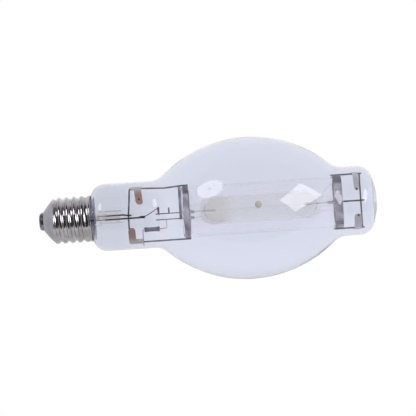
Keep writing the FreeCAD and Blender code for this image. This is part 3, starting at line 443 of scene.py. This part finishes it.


# Straps: bands of spring steel round the shroud. Each is one strip whose end laps over its start near
# the upper side rod and is spot-welded there; its top has painted shade. Two dark lines mark the dome
# strap.


def plate(outline, holes, sheet, edge, step, bend, name):
    """A sheet-metal blank with rounded edges, cut from an outline in its own (along, across) plane with
    round holes of (along, across, radius), then taken to its bent shape by bend(along, across, up)."""
    curve = bpy.data.curves.new(name, "CURVE")
    curve.dimensions = "2D"
    curve.fill_mode = "BOTH"
    curve.extrude = sheet / 2 - edge
    curve.bevel_depth = edge
    curve.bevel_resolution = 1
    curve.offset = -edge
    loops = [outline]
    for along, across, radius in holes:
        loops.append([
            (along + radius * cos(turn), across + radius * sin(turn))
            for turn in (2 * pi * corner / 16 for corner in range(16))])
    for loop in loops:
        spline = curve.splines.new("POLY")
        spline.points.add(len(loop) - 1)
        for point, (along, across) in zip(spline.points, loop):
            point.co = (along, across, 0, 1)
        spline.use_cyclic_u = True
    blank = bpy.data.objects.new(name, curve)
    mesh = bpy.data.meshes.new_from_object(blank)
    bpy.data.objects.remove(blank)
    work = bmesh.new()
    work.from_mesh(mesh)
    bmesh.ops.remove_doubles(work, verts=work.verts, dist=1e-4)
    low = min(point[0] for point in outline)
    high = max(point[0] for point in outline)
    for cut in range(1, int((high - low) / step)):
        parts = work.verts[:] + work.edges[:] + work.faces[:]
        bmesh.ops.bisect_plane(work, geom=parts, plane_co=(low + cut * step, 0, 0), plane_no=(1, 0, 0))
    for vertex in work.verts:
        vertex.co = Vector(bend(*vertex.co)) * 0.001
    bmesh.ops.recalc_face_normals(work, faces=work.faces)
    if work.calc_volume(signed=True) < 0:
        bmesh.ops.reverse_faces(work, faces=work.faces)
    work.to_mesh(mesh)
    work.free()
    mesh.name = name
    return mesh


strap_steel, place = open_finish("strap_steel")
scuffs = place.noise(110, 4).rise(0.35, 0.68)
rolled_marks = place.noise(1200, 3, (1, 0.08, 0.08))
# painted shade: each strap is darker above 14 mm, over its lap and weld by the upper rod
painted_top_shade = place.along("Z").rise(0.0142, 0.0170)
slot_lines = 1 - abs(abs(place.along("Z") + 0.01755) - 0.00085).rise(0.00025, 0.0005)
dark_share = place.math("MAXIMUM", painted_top_shade, slot_lines * place.along("X").rise(0.2, 0.21))
band_tone = dark_share.mix(scuffs.mix(tone(190, 184, 190), tone(146, 138, 146)), tone(112, 110, 116))
close_finish(place, place.node("BsdfPrincipled", sockets={
    "Base Color": band_tone, "Metallic": 1.0, "Roughness": 0.42 + scuffs * 0.16,
    "Normal": rolled_marks.relief(0.15, 0.00008)}))
BAND_RADIUS = 21.75
BAND_SHEET = 0.48
BAND_START = radians(94)
LAP_LIFT = 0.52
LAP_FROM = radians(357.5)
LAP_RISE = radians(4)
for name, start, width, lap in (("stem_strap", 122.9, 4.6, 36), ("dome_strap", 249.0, 7.0, 58)):
    length = radians(360 + lap) * BAND_RADIUS

    def around_shroud(along, across, up):
        """The strip wound round the shroud, lifted on to itself where it laps."""
        turn = along / BAND_RADIUS
        lift = min(1.0, max(0.0, (turn - LAP_FROM) / LAP_RISE))
        radius = BAND_RADIUS + up + LAP_LIFT * lift
        return start + across, radius * cos(turn + BAND_START), radius * sin(turn + BAND_START)

    blank = [(0, 0), (length, 0), (length, width), (0, width)]
    mesh = plate(blank, [], BAND_SHEET, edge=0.1, step=1.0, bend=around_shroud, name=name + "_band")
    fit(mesh, [strap_steel], "strap_steel", name)


# Frame at the stem end: one wire of nickelled iron bent to three sides. Its side rods lie outside the
# strap, and the upper one sinks a little on its way. Two posts from the glass stem carry it.

frame_wire = metal("frame_wire", tone(122, 116, 118), tone(66, 60, 64), 0.36, (0.1, 0.1, 0.1), 500)
WIRE_RADIUS = 0.7
WIRE_BEND = 2.2
ROD_HEIGHT = 22.7
BACK = 75.4
side_path = [
    (127.5, 0, ROD_HEIGHT), (121.9, 0, ROD_HEIGHT), (BACK + 32, 0, ROD_HEIGHT - 1.1),
    (BACK + 11, 0, ROD_HEIGHT), (BACK + 2.2, 0, ROD_HEIGHT), (BACK + 1.3, 0, ROD_HEIGHT / 2), (BACK, 0, 0),
    (BACK, 0, -ROD_HEIGHT / 2), (BACK + 0.8, 0, -ROD_HEIGHT), (127.5, 0, -ROD_HEIGHT)]
post_path = [(56, 3.8, 1.2), (70.5, 3.8, 1.2), (BACK - 1.5, 1.4, 0.6), (BACK + 2.6, 1.4, 0.3)]
dark_post = metal("oxidised_post", tone(76, 66, 68), tone(32, 27, 30), 0.4, (0.1, 1, 1), 500)
for name, path, finish in (
        ("stem_frame_wire", side_path, frame_wire), ("frame_post", post_path, dark_post),
        ("live_post", [(56, -3.8, -2), (89.8, -3.8, -2)], dark_post)):
    rings = wire(rounded(path, WIRE_BEND), WIRE_RADIUS, 20)
    fit(lamp_mesh(name + "_bent", rings), [finish], "frame_wire", name)


# Frame at the dome end: two short side wires welded to the strap, a cross wire behind them and the
# lead of the arc tube, welded where they meet.

DOME_WIRES_FROM = 247.9
DOME_WIRES_TO = 274.5
CROSS_WIRE = 272.7
behind = 2 * WIRE_RADIUS
cross_reach = ROD_HEIGHT + 0.9
for name, path in (
        ("dome_wire_upper", [(DOME_WIRES_FROM, 0, ROD_HEIGHT), (DOME_WIRES_TO, 0, ROD_HEIGHT)]),
        ("dome_wire_lower", [(DOME_WIRES_FROM, 0, -ROD_HEIGHT), (DOME_WIRES_TO, 0, -ROD_HEIGHT)]),
        ("dome_cross_wire", [(CROSS_WIRE, behind, -cross_reach), (CROSS_WIRE, behind, cross_reach)]),
        ("dome_lead", [(251.5, 0, 0), (276, 0, 0)])):
    fit(lamp_mesh(name + "_cut", wire(path, WIRE_RADIUS, 20)), [frame_wire], "frame_wire", name)


# Springs: leaves of thin steel, welded to the side wires and bent round to the glass, in which they keep
# the frame central. Those in the neck are brown with heat, and painted shade darkens where they were
# pressed.


GLASS_WALL = 1.1
NECK_RADIUS = 28.5
DOME_RADIUS = 29.2
SPRING_SHEET = 0.3
SPRING_TURN = 92
SPRING_SEAT = ROD_HEIGHT + 0.85
GLASS_GAP = 0.45


def leaf_spring(name, start, width, up, glass, drop, material, slot, foot=None, slant=0.0, hole=None):
    """A spring from a side wire round the front to glass of an outer radius, to an angle of drop degrees
    above or below the level of the axis. It may have a foot of (start, end, reach in degrees) and a hole of
    (reach in degrees, along, radius)."""
    tip = glass - GLASS_WALL - SPRING_SHEET - GLASS_GAP
    length = radians(SPRING_TURN - drop) * (SPRING_SEAT + tip) / 2
    half = width / 2
    low, high, reach = foot or (start, start + width, 0)
    reach = radians(reach) * SPRING_SEAT
    outline = [(0, low)]
    if low < start:
        outline += [(reach, low), (reach, start)]
    for step in range(11):
        turn = pi * step / 10
        outline.append((length - half + half * sin(turn), start + half - half * cos(turn)))
    if high > start + width:
        outline += [(reach, start + width), (reach, high)]
    outline.append((0, high))

    def to_glass(along, across, lift):
        """The leaf wound from its seat on the wire out to the glass."""
        share = min(1.0, max(0.0, along / length))
        turn = radians(SPRING_TURN - (SPRING_TURN - drop) * along / length)
        radius = SPRING_SEAT + (tip - SPRING_SEAT) * share + lift
        shift = slant * share * share
        return across + shift, -radius * cos(turn), up * radius * sin(turn)

    holes = [(radians(hole[0]) * SPRING_SEAT, hole[1], hole[2])] if hole else []
    mesh = plate(outline, holes, SPRING_SHEET, edge=0.06, step=0.8, bend=to_glass, name=name + "_leaf")
    fit(mesh, [material], slot, name)


def warm_spring(name, pale, brown, split, shaded_dimples):
    """Spring steel, brown where it comes down the front and pale by its weld, with painted shade at
    dimples.
    """
    material, place = open_finish(name)
    depth = (0 - place.along("Y")).rise(*split)
    patches = place.noise(260, 4).rise(0.3, 0.75)
    streak = place.noise(1400, 2, (1, 0.2, 0.2))
    heat = place.math("MAXIMUM", depth, patches * 0.25)
    # painted shade: dark round spots where the leaves were pressed
    dark = sum(place.mark(along * 0.001, up * 0.001, 0.0011) for along, up in shaded_dimples)
    close_finish(place, place.node("BsdfPrincipled", sockets={
        "Base Color": dark.mix(heat.mix(pale, brown), tone(58, 50, 50)), "Metallic": 0.75,
        "Roughness": 0.42 + streak * 0.12, "Normal": streak.relief(0.12, 0.00006)}))
    return material


browned = warm_spring(
    "browned_spring", pale=tone(200, 192, 184), brown=tone(168, 128, 112), split=(0.010, 0.021),
    shaded_dimples=[(86.6, 13.2)])
leaf_spring(
    "neck_spring_upper", start=82.0, width=6.0, up=1, glass=NECK_RADIUS, drop=19, material=browned,
    slot="neck_spring_steel", foot=(79.0, 88.0, 38), slant=2.2)
leaf_spring(
    "neck_spring_lower", start=75.5, width=6.0, up=-1, glass=NECK_RADIUS, drop=22, material=browned,
    slot="neck_spring_steel", foot=(75.5, 87.5, 44), slant=0.6, hole=(39.4, 84.5, 0.8))
pale_spring = warm_spring(
    "pale_spring", pale=tone(206, 204, 206), brown=tone(188, 184, 186), split=(0.010, 0.024),
    shaded_dimples=[(268.2, 9.6), (268.4, -12.2)])
leaf_spring(
    "dome_spring_upper", start=266.0, width=4.4, up=1, glass=DOME_RADIUS, drop=18, material=pale_spring,
    slot="dome_spring_steel")
leaf_spring(
    "dome_spring_lower", start=265.0, width=6.0, up=-1, glass=DOME_RADIUS, drop=23, material=pale_spring,
    slot="dome_spring_steel")


# Strip across the stem pinch: a steel ribbon that keeps the arc tube's end in place, bent back at the
# top and welded under the upper side rod.

clip_steel = metal("clip_steel", tone(150, 150, 160), tone(92, 92, 104), 0.34, (1, 1, 0.1))
finish_node("pinch_clip", clip_steel)


# Leads of the arc tube at the stem end, the live link to them and the bimetal strip of the starting
# switch. Thin wires of nickelled iron, a brown twisted ribbon and an angle of two-layer sheet.

LEAD_RADIUS = 0.35
lead_wire = metal("lead_wire", tone(110, 104, 106), tone(58, 52, 56), 0.36, size=700)
jumper_path = rounded([(84.8, -3.8, -0.95), (90.6, -3.8, -0.95), (101.65, -1.15, 5.3)], WIRE_BEND)
for name, path, radius in (
        ("stem_arc_lead", [(98.8, 0, 0), (123.5, 0, 0)], 0.4),
        ("probe_lead", [(98.8, 0, PROBE_HEIGHT), (123.5, 0, PROBE_HEIGHT)], 0.4),
        ("live_jumper", jumper_path, LEAD_RADIUS)):
    fit(lamp_mesh(name + "_wire", wire(path, radius)), [lead_wire], "lead_wire", name)
link = metal("brown_link", tone(176, 128, 110), tone(120, 78, 66), 0.4)
finish_node("live_ribbon", link)
bimetal = metal("bimetal_sheet", tone(112, 108, 110), tone(64, 60, 64), 0.34)
finish_node("bimetal_strip", bimetal)


# Starting resistor: a grey ceramic rod with a resistance film, pressed steel caps and two copper-clad
# leads, one down to the frame and one up to the probe's lead.

ceramic, place = open_finish("resistor_ceramic")
speckle = place.noise(2600, 3).rise(0.4, 0.65)
close_finish(place, place.node("BsdfPrincipled", sockets={
    "Base Color": speckle.mix(tone(114, 112, 126), tone(84, 82, 94)), "Roughness": 0.5,
    "Normal": speckle.relief(0.1, 0.00005)}))
LEFT_END = 88.6
RIGHT_END = 101.4
RESISTOR_SEAT = Vector((0, -1.05, -12.6))
resistor_outline = [
    (LEFT_END, 0), (LEFT_END, 1.5), (LEFT_END + 0.3, 1.8), (RIGHT_END - 0.3, 1.8), (RIGHT_END, 1.5),
    (RIGHT_END, 0)]


def on_seat(rings):
    """Rings about the lamp axis, moved to the resistor's own axis."""
    return [[Vector(point) + RESISTOR_SEAT for point in ring] for ring in rings]


mesh = lamp_mesh("resistor_rod", on_seat(turned(resistor_outline, 40)))
fit(mesh, [ceramic], "resistor_ceramic", "resistor_body")
cap_metal = metal("resistor_cap_metal", tone(120, 116, 124), tone(72, 68, 76), 0.32)
cap_outline = [
    (-0.3, 0.36), (-0.3, 1.8), (-0.1, 2.1), (2.0, 2.1), (2.1, 2.0), (2.1, 1.82), (0, 1.82), (0, 0.36)]
for name, rod_end, way in (("resistor_cap_left", LEFT_END, 1), ("resistor_cap_right", RIGHT_END, -1)):
    cup = [(rod_end + way * inward, radius) for inward, radius in cap_outline[::way]]
    fit(lamp_mesh(name + "_cup", on_seat(turned(cup, 40))), [cap_metal], "resistor_cap_metal", name)
copper = metal("copper_clad_wire", tone(214, 158, 150), tone(160, 110, 104), 0.34, size=700)
to_frame = [(LEFT_END, -1.05, -12.6), (86.9, -1.05, -12.6), (86.9, -1.05, -26.1)]
to_probe = [(RIGHT_END, -1.05, -12.6), (103.6, -1.05, -12.6), (107.7, -0.75, -12.1), (107.7, -0.75, -4.2)]
for name, path in (("resistor_lead_left", to_frame), ("resistor_lead_right", to_probe)):
    rings = wire(rounded(path, 1.2), LEAD_RADIUS)
    fit(lamp_mesh(name + "_wire", rings), [copper], "resistor_wire", name)


# Return wire: a thin bright wire that carries the current from the stem frame to the dome frame, welded to
# the upper side wires and bowed out behind the shroud so that it stays away from the arc.

RETURN_RADIUS = 0.22
RETURN_BEND = 8
return_path = [
    (108, 1, ROD_HEIGHT), (114, 1, ROD_HEIGHT), (124, 16.5, 19.25), (140, 27.5, 0), (234, 27.5, 0),
    (250, 16.5, 19.25), (261, 1, ROD_HEIGHT), (264, 1, ROD_HEIGHT)]
mesh = lamp_mesh("return_wire_bowed", wire(rounded(return_path, RETURN_BEND), RETURN_RADIUS, 12))
bright_wire = metal("bright_return_wire", tone(238, 236, 238), tone(214, 212, 216), 0.3, size=700)
fit(mesh, [bright_wire], "lead_wire", "return_wire")


# Stem: a glass flare sealed to the neck, drawn into a tube and pressed flat over the leads. The metal
# oxide of the leads stains the glass of the press brown.

stem_stain, place = open_finish("stem_glass")
near_leads = 1 - (abs(place.along("Z")) + place.noise(300, 2) * 0.006 - 0.003).rise(0.0005, 0.004)
stain = near_leads * place.along("X").rise(0.044, 0.052)
stem_tint = stain.mix((0.97, 0.97, 0.975, 1), tone(226, 214, 204))
lumps = place.noise(200, 2)
pressed = clear_glass(place, stem_tint, index=1.25, shadow=0.95, Normal=lumps.relief(0.2, 0.0006))
close_finish(place, pressed)
finish_node("glass_stem", stem_stain)


# Leads in the cap: thin wires from the stem to the centre contact and to the screw shell, where a
# drop of solder holds the second one.

for name, path in (
        ("centre_lead", [(56, -3.8, -2), (22, -3.8, -2), (14.8, 0, 0), (0.9, 0, 0)]),
        ("shell_lead", [(56, 3.8, 1.2), (25, 3.8, 1.2), (20.5, 7.6, 1.2), (20.5, 16.15, 1.2)])):
    rings = wire(rounded(path, WIRE_BEND), LEAD_RADIUS)
    fit(lamp_mesh(name + "_wire", rings), [lead_wire], "lead_wire", name)
solder = metal("solder", tone(196, 196, 198), tone(150, 150, 152), 0.28, size=600)
finish_node("side_solder", solder)


# Envelope: one blown bulb of hard glass with a straight neck, a full belly and a round-nosed dome
# tube. Its tint is a little greyer in the neck.

SEAL_RADIUS = 16.8
ROOT_BEND = 2.5
SHOULDER = (56.5, 17.0)
SHOULDER_BEND = 11.5
SHOULDER_SLOPE = 62
NECK_BEND = 15.0
BELLY = (177.6, -45.35)
BELLY_CURVE = 105.5
DOME_BEND = 18.0
CORNER_BEND = 13.0
CROWN = (228, 0)
CROWN_CURVE = 58.0


def bend_place(way, tube, bend):
    """Centre of the hollow bend between the belly and a tube, before it (-1) or beyond it (1)."""
    height = tube + bend
    return BELLY[0] + way * sqrt((BELLY_CURVE + bend) ** 2 - (height - BELLY[1]) ** 2), height


def angle_from(centre, point):
    """The angle in degrees at which a point is seen from a centre."""
    return atan2(point[1] - centre[1], point[0] - centre[0]) * 180 / pi


def arc_line(centre, radius, first, last, steps, hollow=False):
    """Points of an arc between two angles in degrees, with the directions that point out of the glass. The
    centre of a hollow arc lies outside the glass."""
    line = []
    for step in range(steps + 1):
        turn = radians(first + (last - first) * step / steps)
        spoke = Vector((cos(turn), sin(turn)))
        line.append((Vector(centre) + spoke * radius, -spoke if hollow else spoke))
    return line


neck_bend = bend_place(-1, NECK_RADIUS, NECK_BEND)
dome_bend = bend_place(1, DOME_RADIUS, DOME_BEND)
neck_turn = angle_from(BELLY, neck_bend)
dome_turn = angle_from(BELLY, dome_bend)
corner_height = DOME_RADIUS - CORNER_BEND
corner = (CROWN[0] + sqrt((CROWN_CURVE - CORNER_BEND) ** 2 - corner_height ** 2), corner_height)
corner_turn = angle_from(CROWN, corner)
slope = Vector((cos(radians(SHOULDER_SLOPE)), sin(radians(SHOULDER_SLOPE))))
foot = Vector(SHOULDER) + Vector((-slope.y, slope.x)) * (SHOULDER_BEND + ROOT_BEND)
root = foot - slope * ((foot.y - SEAL_RADIUS - ROOT_BEND) / slope.y)
out = Vector((0, 1))
bulb = [(Vector((24.0, SEAL_RADIUS)), out), (Vector((33.0, SEAL_RADIUS)), out)]
bulb += arc_line(root, ROOT_BEND, -90, SHOULDER_SLOPE - 90, 6, True)
bulb += arc_line(SHOULDER, SHOULDER_BEND, SHOULDER_SLOPE + 90, 90, 14)
bulb += [(Vector((x, NECK_RADIUS)), out) for x in (66, 76, 86)]
bulb += arc_line(neck_bend, NECK_BEND, -90, neck_turn - 180, 12, True)
bulb += arc_line(BELLY, BELLY_CURVE, neck_turn, dome_turn, 64)[1:]
bulb += arc_line(dome_bend, DOME_BEND, dome_turn - 180, -90, 14, True)[1:]
bulb += arc_line(corner, CORNER_BEND, 90, corner_turn, 16)
bulb += arc_line(CROWN, CROWN_CURVE, corner_turn, 0, 12)[1:]
skin_out = [tuple(point) for point, way in bulb]
skin_in = [tuple(point - way * GLASS_WALL) for point, way in bulb]
skin_out[-1] = (CROWN[0] + CROWN_CURVE, 0.0)
skin_in[-1] = (CROWN[0] + CROWN_CURVE - GLASS_WALL, 0.0)

bulb_glass, place = open_finish("bulb_glass")
neck_share = 1 - place.along("X").rise(0.060, 0.112)
tint = neck_share.mix((0.82, 0.835, 0.905, 1), (0.765, 0.78, 0.838, 1))
swell = place.noise(26, 1)
blown = clear_glass(place, tint, index=1.47, shadow=0.94, Normal=swell.relief(0.12, 0.002))
close_finish(place, blown)
mesh = lamp_mesh("bulb_envelope", turned(skin_out + skin_in[::-1], 160))
fit(mesh, [bulb_glass], "outer_glass", "outer_envelope", crease=70)


# Screw shell: nickelled brass sheet rolled with a coarse right-hand knuckle thread, round in crest and
# root, that fades out into a plain skirt round the neck.

CREST, ROOT_RADIUS, PITCH, FIRST_ROOT = 19.65, 17.95, 6.35, 8.05
ARC = ((PITCH / 4) ** 2 + ((CREST - ROOT_RADIUS) / 2) ** 2) / (CREST - ROOT_RADIUS)
LAST_TURN = 6.2
FADE_TURNS = 1.7
SHELL_START, SKIRT_START, SHELL_END = 12.3, 42.6, 44.3
SHELL_SHEET = 0.5
MOUTH_RADIUS = 18.5
SKIRT_RISE = 0.1


def knuckle(off):
    """Depth of the thread below its crest at a distance from the middle of a root."""
    off = min(abs(off), PITCH / 2)
    if off < PITCH / 4:
        return CREST - ROOT_RADIUS - ARC + sqrt(ARC ** 2 - off ** 2)
    return ARC - sqrt(ARC ** 2 - (PITCH / 2 - off) ** 2)


def shell_radius(x, turn):
    """Radius of the shell at a place along the axis and a turn from the top, right-handed about +X."""
    share = turn / (2 * pi)
    nearest = round((x - FIRST_ROOT) / PITCH - share)
    turns_done = nearest + share
    fade = min(1.0, max(0.0, (LAST_TURN - turns_done) / FADE_TURNS))
    depth = knuckle(x - FIRST_ROOT - PITCH * turns_done) * fade
    skirt = min(1.0, max(0.0, (x - SKIRT_START) / 0.8))
    mouth = MOUTH_RADIUS + (x - SHELL_START) * 1.1
    return min(mouth, CREST - depth * (1 - skirt) + SKIRT_RISE * skirt)


def shell_ring(x, inset, sides=144):
    """One ring of the shell, inset from its outside."""
    ring = []
    for step in range(sides):
        turn = 2 * pi * step / sides
        radius = shell_radius(x, turn) - inset
        ring.append((x, -radius * sin(turn), radius * cos(turn)))
    return ring


shell_stations = [SHELL_START + 0.3 * step for step in range(106)] + [SHELL_END - 0.3]
rings = [shell_ring(x, 0) for x in shell_stations] + [shell_ring(SHELL_END, 0.15)]
rings += [shell_ring(SHELL_END, 0.4)] + [shell_ring(x, SHELL_SHEET) for x in shell_stations[::-2]]
nickel, place = open_finish("nickelled_shell")
haze = place.noise(120, 5).rise(0.35, 0.7)
rolling = place.noise(2600, 3, (1, 0.05, 0.05))
wear = place.noise(700, 5).rise(0.56, 0.7)
close_finish(place, place.node("BsdfPrincipled", sockets={
    "Base Color": haze.mix(tone(206, 203, 205), tone(176, 172, 174)), "Metallic": 1.0,
    "Roughness": 0.15 + haze * 0.05 + wear * 0.06, "Normal": (rolling + haze * 0.4).relief(0.04, 0.00006)}))
fit(lamp_mesh("screw_shell_rolled", rings), [nickel], "shell_metal", "screw_shell", crease=60)


# Cement: grey capping paste, baked hard between the screw shell and the neck that it holds. Only the
# rough ring at the end of the skirt shows.

paste, place = open_finish("cap_cement")
grit = place.noise(1800, 5)
close_finish(place, place.node("BsdfPrincipled", sockets={
    "Base Color": grit.rise(0.3, 0.7).mix(tone(168, 162, 152), tone(140, 134, 126)), "Roughness": 0.9,
    "Normal": grit.relief(0.4, 0.0002)}))
finish_node("cap_cement", paste)


# Insulator: a cone of grey glazed ceramic that closes the shell and keeps it apart from the centre
# contact on its nose. Its spigot sits in the end of the shell, and a hole lets the lead through.

glaze, place = open_finish("glazed_insulator")
shade = place.noise(160, 4).rise(0.35, 0.7)
pits = place.noise(2200, 3)
close_finish(place, place.node("BsdfPrincipled", sockets={
    "Base Color": shade.mix(tone(158, 157, 164), tone(140, 138, 146)), "Roughness": 0.3 + pits * 0.15,
    "Normal": pits.relief(0.12, 0.0001), "Coat Weight": 0.3}))
cone = [(1.8, 1.2), (1.8, 5.4), (3.7, 5.4), (3.7, 8.3), (3.9, 8.7), (6.0, 11.5), (8.2, 14.2), (10.4, 16.6),
        (12.0, 18.3), (12.3, 18.4), (12.3, 17.45), (17.3, 17.45), (17.3, 13.65), (11.5, 13.65), (11.5, 4.8),
        (7.5, 4.8), (7.5, 1.2)]
mesh = lamp_mesh("insulator_cone", turned(cone, 96))
fit(mesh, [glaze], "insulator", "cap_insulator")


# Centre contact: a pressed cup of tinned brass on the nose of the insulator. A drop of solder closes the
# hole in its middle over the end of the lead.

contact_metal = metal("contact_metal", tone(150, 146, 150), tone(96, 92, 96), 0.24, (1, 0.1, 0.1))
CUP_EDGE = 2.4
edge_turns = [pi / 2 * step / 8 for step in range(9)]
edge = [(CUP_EDGE * (1 - cos(turn)), 5.2 + CUP_EDGE * sin(turn)) for turn in edge_turns]
cup = [(0, 1.2)] + edge + [(3.7, 7.6), (3.7, 5.4), (1.8, 5.4), (1.8, 1.2)]
fit(lamp_mesh("contact_cup", turned(cup, 96)), [contact_metal], "contact_metal", "centre_contact")
drop = [
    (0.2, 0.0), (0.22, 0.4), (0.3, 0.8), (0.45, 1.15), (0.6, 1.2), (1.8, 1.2), (1.8, 0.35), (0.9, 0.35),
    (0.9, 0)]
fit(lamp_mesh("contact_solder_drop", turned(drop, 48)), [solder], "solder", "contact_solder")


# Studio: the lamp lies on a white floor in a room that is bright above and behind. A round flash with a
# dark middle and a square softbox show in its glass. The floor ends in front, so that the cap mirrors the
# dark side of the room there.

FRONT_EDGE = -0.075
FAR_EDGE = 3
low = cad_box[0][2]
floor_mesh = bpy.data.meshes.new("floor")
floor_mesh.from_pydata([
    (-FAR_EDGE, FRONT_EDGE, low), (FAR_EDGE, FRONT_EDGE, low), (FAR_EDGE, FAR_EDGE, low),
    (-FAR_EDGE, FAR_EDGE, low)], [], [(0, 1, 2, 3)])
floor = bpy.data.objects.new("floor", floor_mesh)
bpy.context.scene.collection.objects.link(floor)
paper, place = open_finish("white_floor")
seen = place.node("LightPath", output="Is Camera Ray")
through = place.node("LightPath", output="Is Transmission Ray")
plain = place.node("BsdfDiffuse", sockets={"Color": (0.8, 0.8, 0.8, 1)})
shadowed = place.node("BsdfDiffuse", sockets={"Color": (0.36, 0.36, 0.36, 1)})
bright = place.node("Emission", sockets={"Strength": 0.76})
lit = place.node("AddShader", sockets={0: shadowed, 1: bright})
close_finish(place, (seen + through).shaders(plain, lit))
floor_mesh.materials.append(paper)


def facing(place, aim, up):
    """The matrix of a light or camera that looks from a place at an aim."""
    back = (Vector(place) - Vector(aim)).normalized()
    side = Vector(up).cross(back).normalized()
    return Matrix.Translation(place) @ Matrix((side, back.cross(side), back)).transposed().to_4x4()


def studio_light(name, shape, sizes, place, aim, up, power, dark_middle=None):
    """A flat light that faces the lamp, seen in reflections only. Its middle may be dark up to a share of
    its size and bright from another."""
    data = bpy.data.lights.new(name, "AREA")
    data.shape = shape
    data.size, data.size_y = sizes
    data.energy = power
    data.color = (0.97, 0.98, 1.0)
    light = bpy.data.objects.new(name, data)
    light.matrix_world = facing(place, aim, up)
    light.visible_camera = False
    light.visible_transmission = False
    bpy.context.scene.collection.objects.link(light)
    if dark_middle:
        data.use_nodes = True
        data.node_tree.nodes.clear()
        spot = Shade(data.node_tree, None).node("NewGeometry", output="Parametric")
        middle = {0: spot, 1: (0.5, 0.5, 0)}
        off_centre = spot.node("VectorMath", {"operation": "DISTANCE"}, middle, "Value")
        glow = spot.node("Emission", sockets={"Strength": off_centre.rise(*dark_middle)})
        spot.node("OutputLight", sockets={"Surface": glow})


studio_light(
    "round_flash", "ELLIPSE", sizes=(0.46, 0.50), place=(-0.40, -0.68, 0.57), aim=(0.147, -0.053, 0.017),
    up=(0, 0, 1), power=2.6, dark_middle=(0.05, 0.11))
studio_light(
    "softbox", "RECTANGLE", sizes=(0.47, 0.70), place=(0.98, -0.67, 0.20), aim=(0.22, -0.05, 0.006),
    up=(0.297, 0.45, 0.43), power=6.0)

world = bpy.data.worlds.new("bright_room")
bpy.context.scene.world = world
world.use_nodes = True
tree = world.node_tree
tree.nodes.clear()
heading = Shade(tree, tree.nodes.new("ShaderNodeTexCoord").outputs["Generated"])
front_to_back = [
    (0.0, (0.02, 0.018, 0.02, 1)), (0.36, (0.035, 0.028, 0.032, 1)), (0.46, (0.46, 0.45, 0.47, 1)),
    (0.6, (0.6, 0.6, 0.62, 1)), (1.0, (1, 1, 1, 1))]
room = heading.node("ValToRGB", {"stops": front_to_back}, {"Fac": heading.along("Y") * 0.5 + 0.5})
side_windows = abs(heading.along("X")).rise(0.86, 0.97)
room = side_windows.mix(room, (0.95, 0.95, 0.98, 1))
seen = heading.node("LightPath", output="Is Camera Ray")
through = heading.node("LightPath", output="Is Transmission Ray")
mirrored = heading.node("LightPath", output="Is Glossy Ray")
sky = (seen + through).mix(mirrored.mix((0.7, 0.7, 0.71, 1), room), (1, 1, 1, 1))
background = heading.node("Background", sockets={"Color": sky, "Strength": 1.0})
heading.node("OutputWorld", sockets={"Surface": background})


# Camera: level with the lamp and 1.5 m in front, rolled so that the lamp rises to the right as in the
# photograph. Its rays may cross many walls of glass, because the lamp has three inside each other.

ROLL = radians(3.9)
camera_data = bpy.data.cameras.new("photo_view")
camera_data.lens = 153.26
camera_data.sensor_width = 36
camera = bpy.data.objects.new("photo_view", camera_data)
camera.matrix_world = facing((0.1787, -1.5, 0.0), (0.1432, 0, 0.0022), (sin(ROLL), 0, cos(ROLL)))
bpy.context.scene.collection.objects.link(camera)
bpy.context.scene.camera = camera
bpy.context.scene.view_settings.view_transform = "Standard"
cycles = bpy.context.scene.cycles
cycles.max_bounces = 32
cycles.transmission_bounces = 32
cycles.transparent_max_bounces = 32
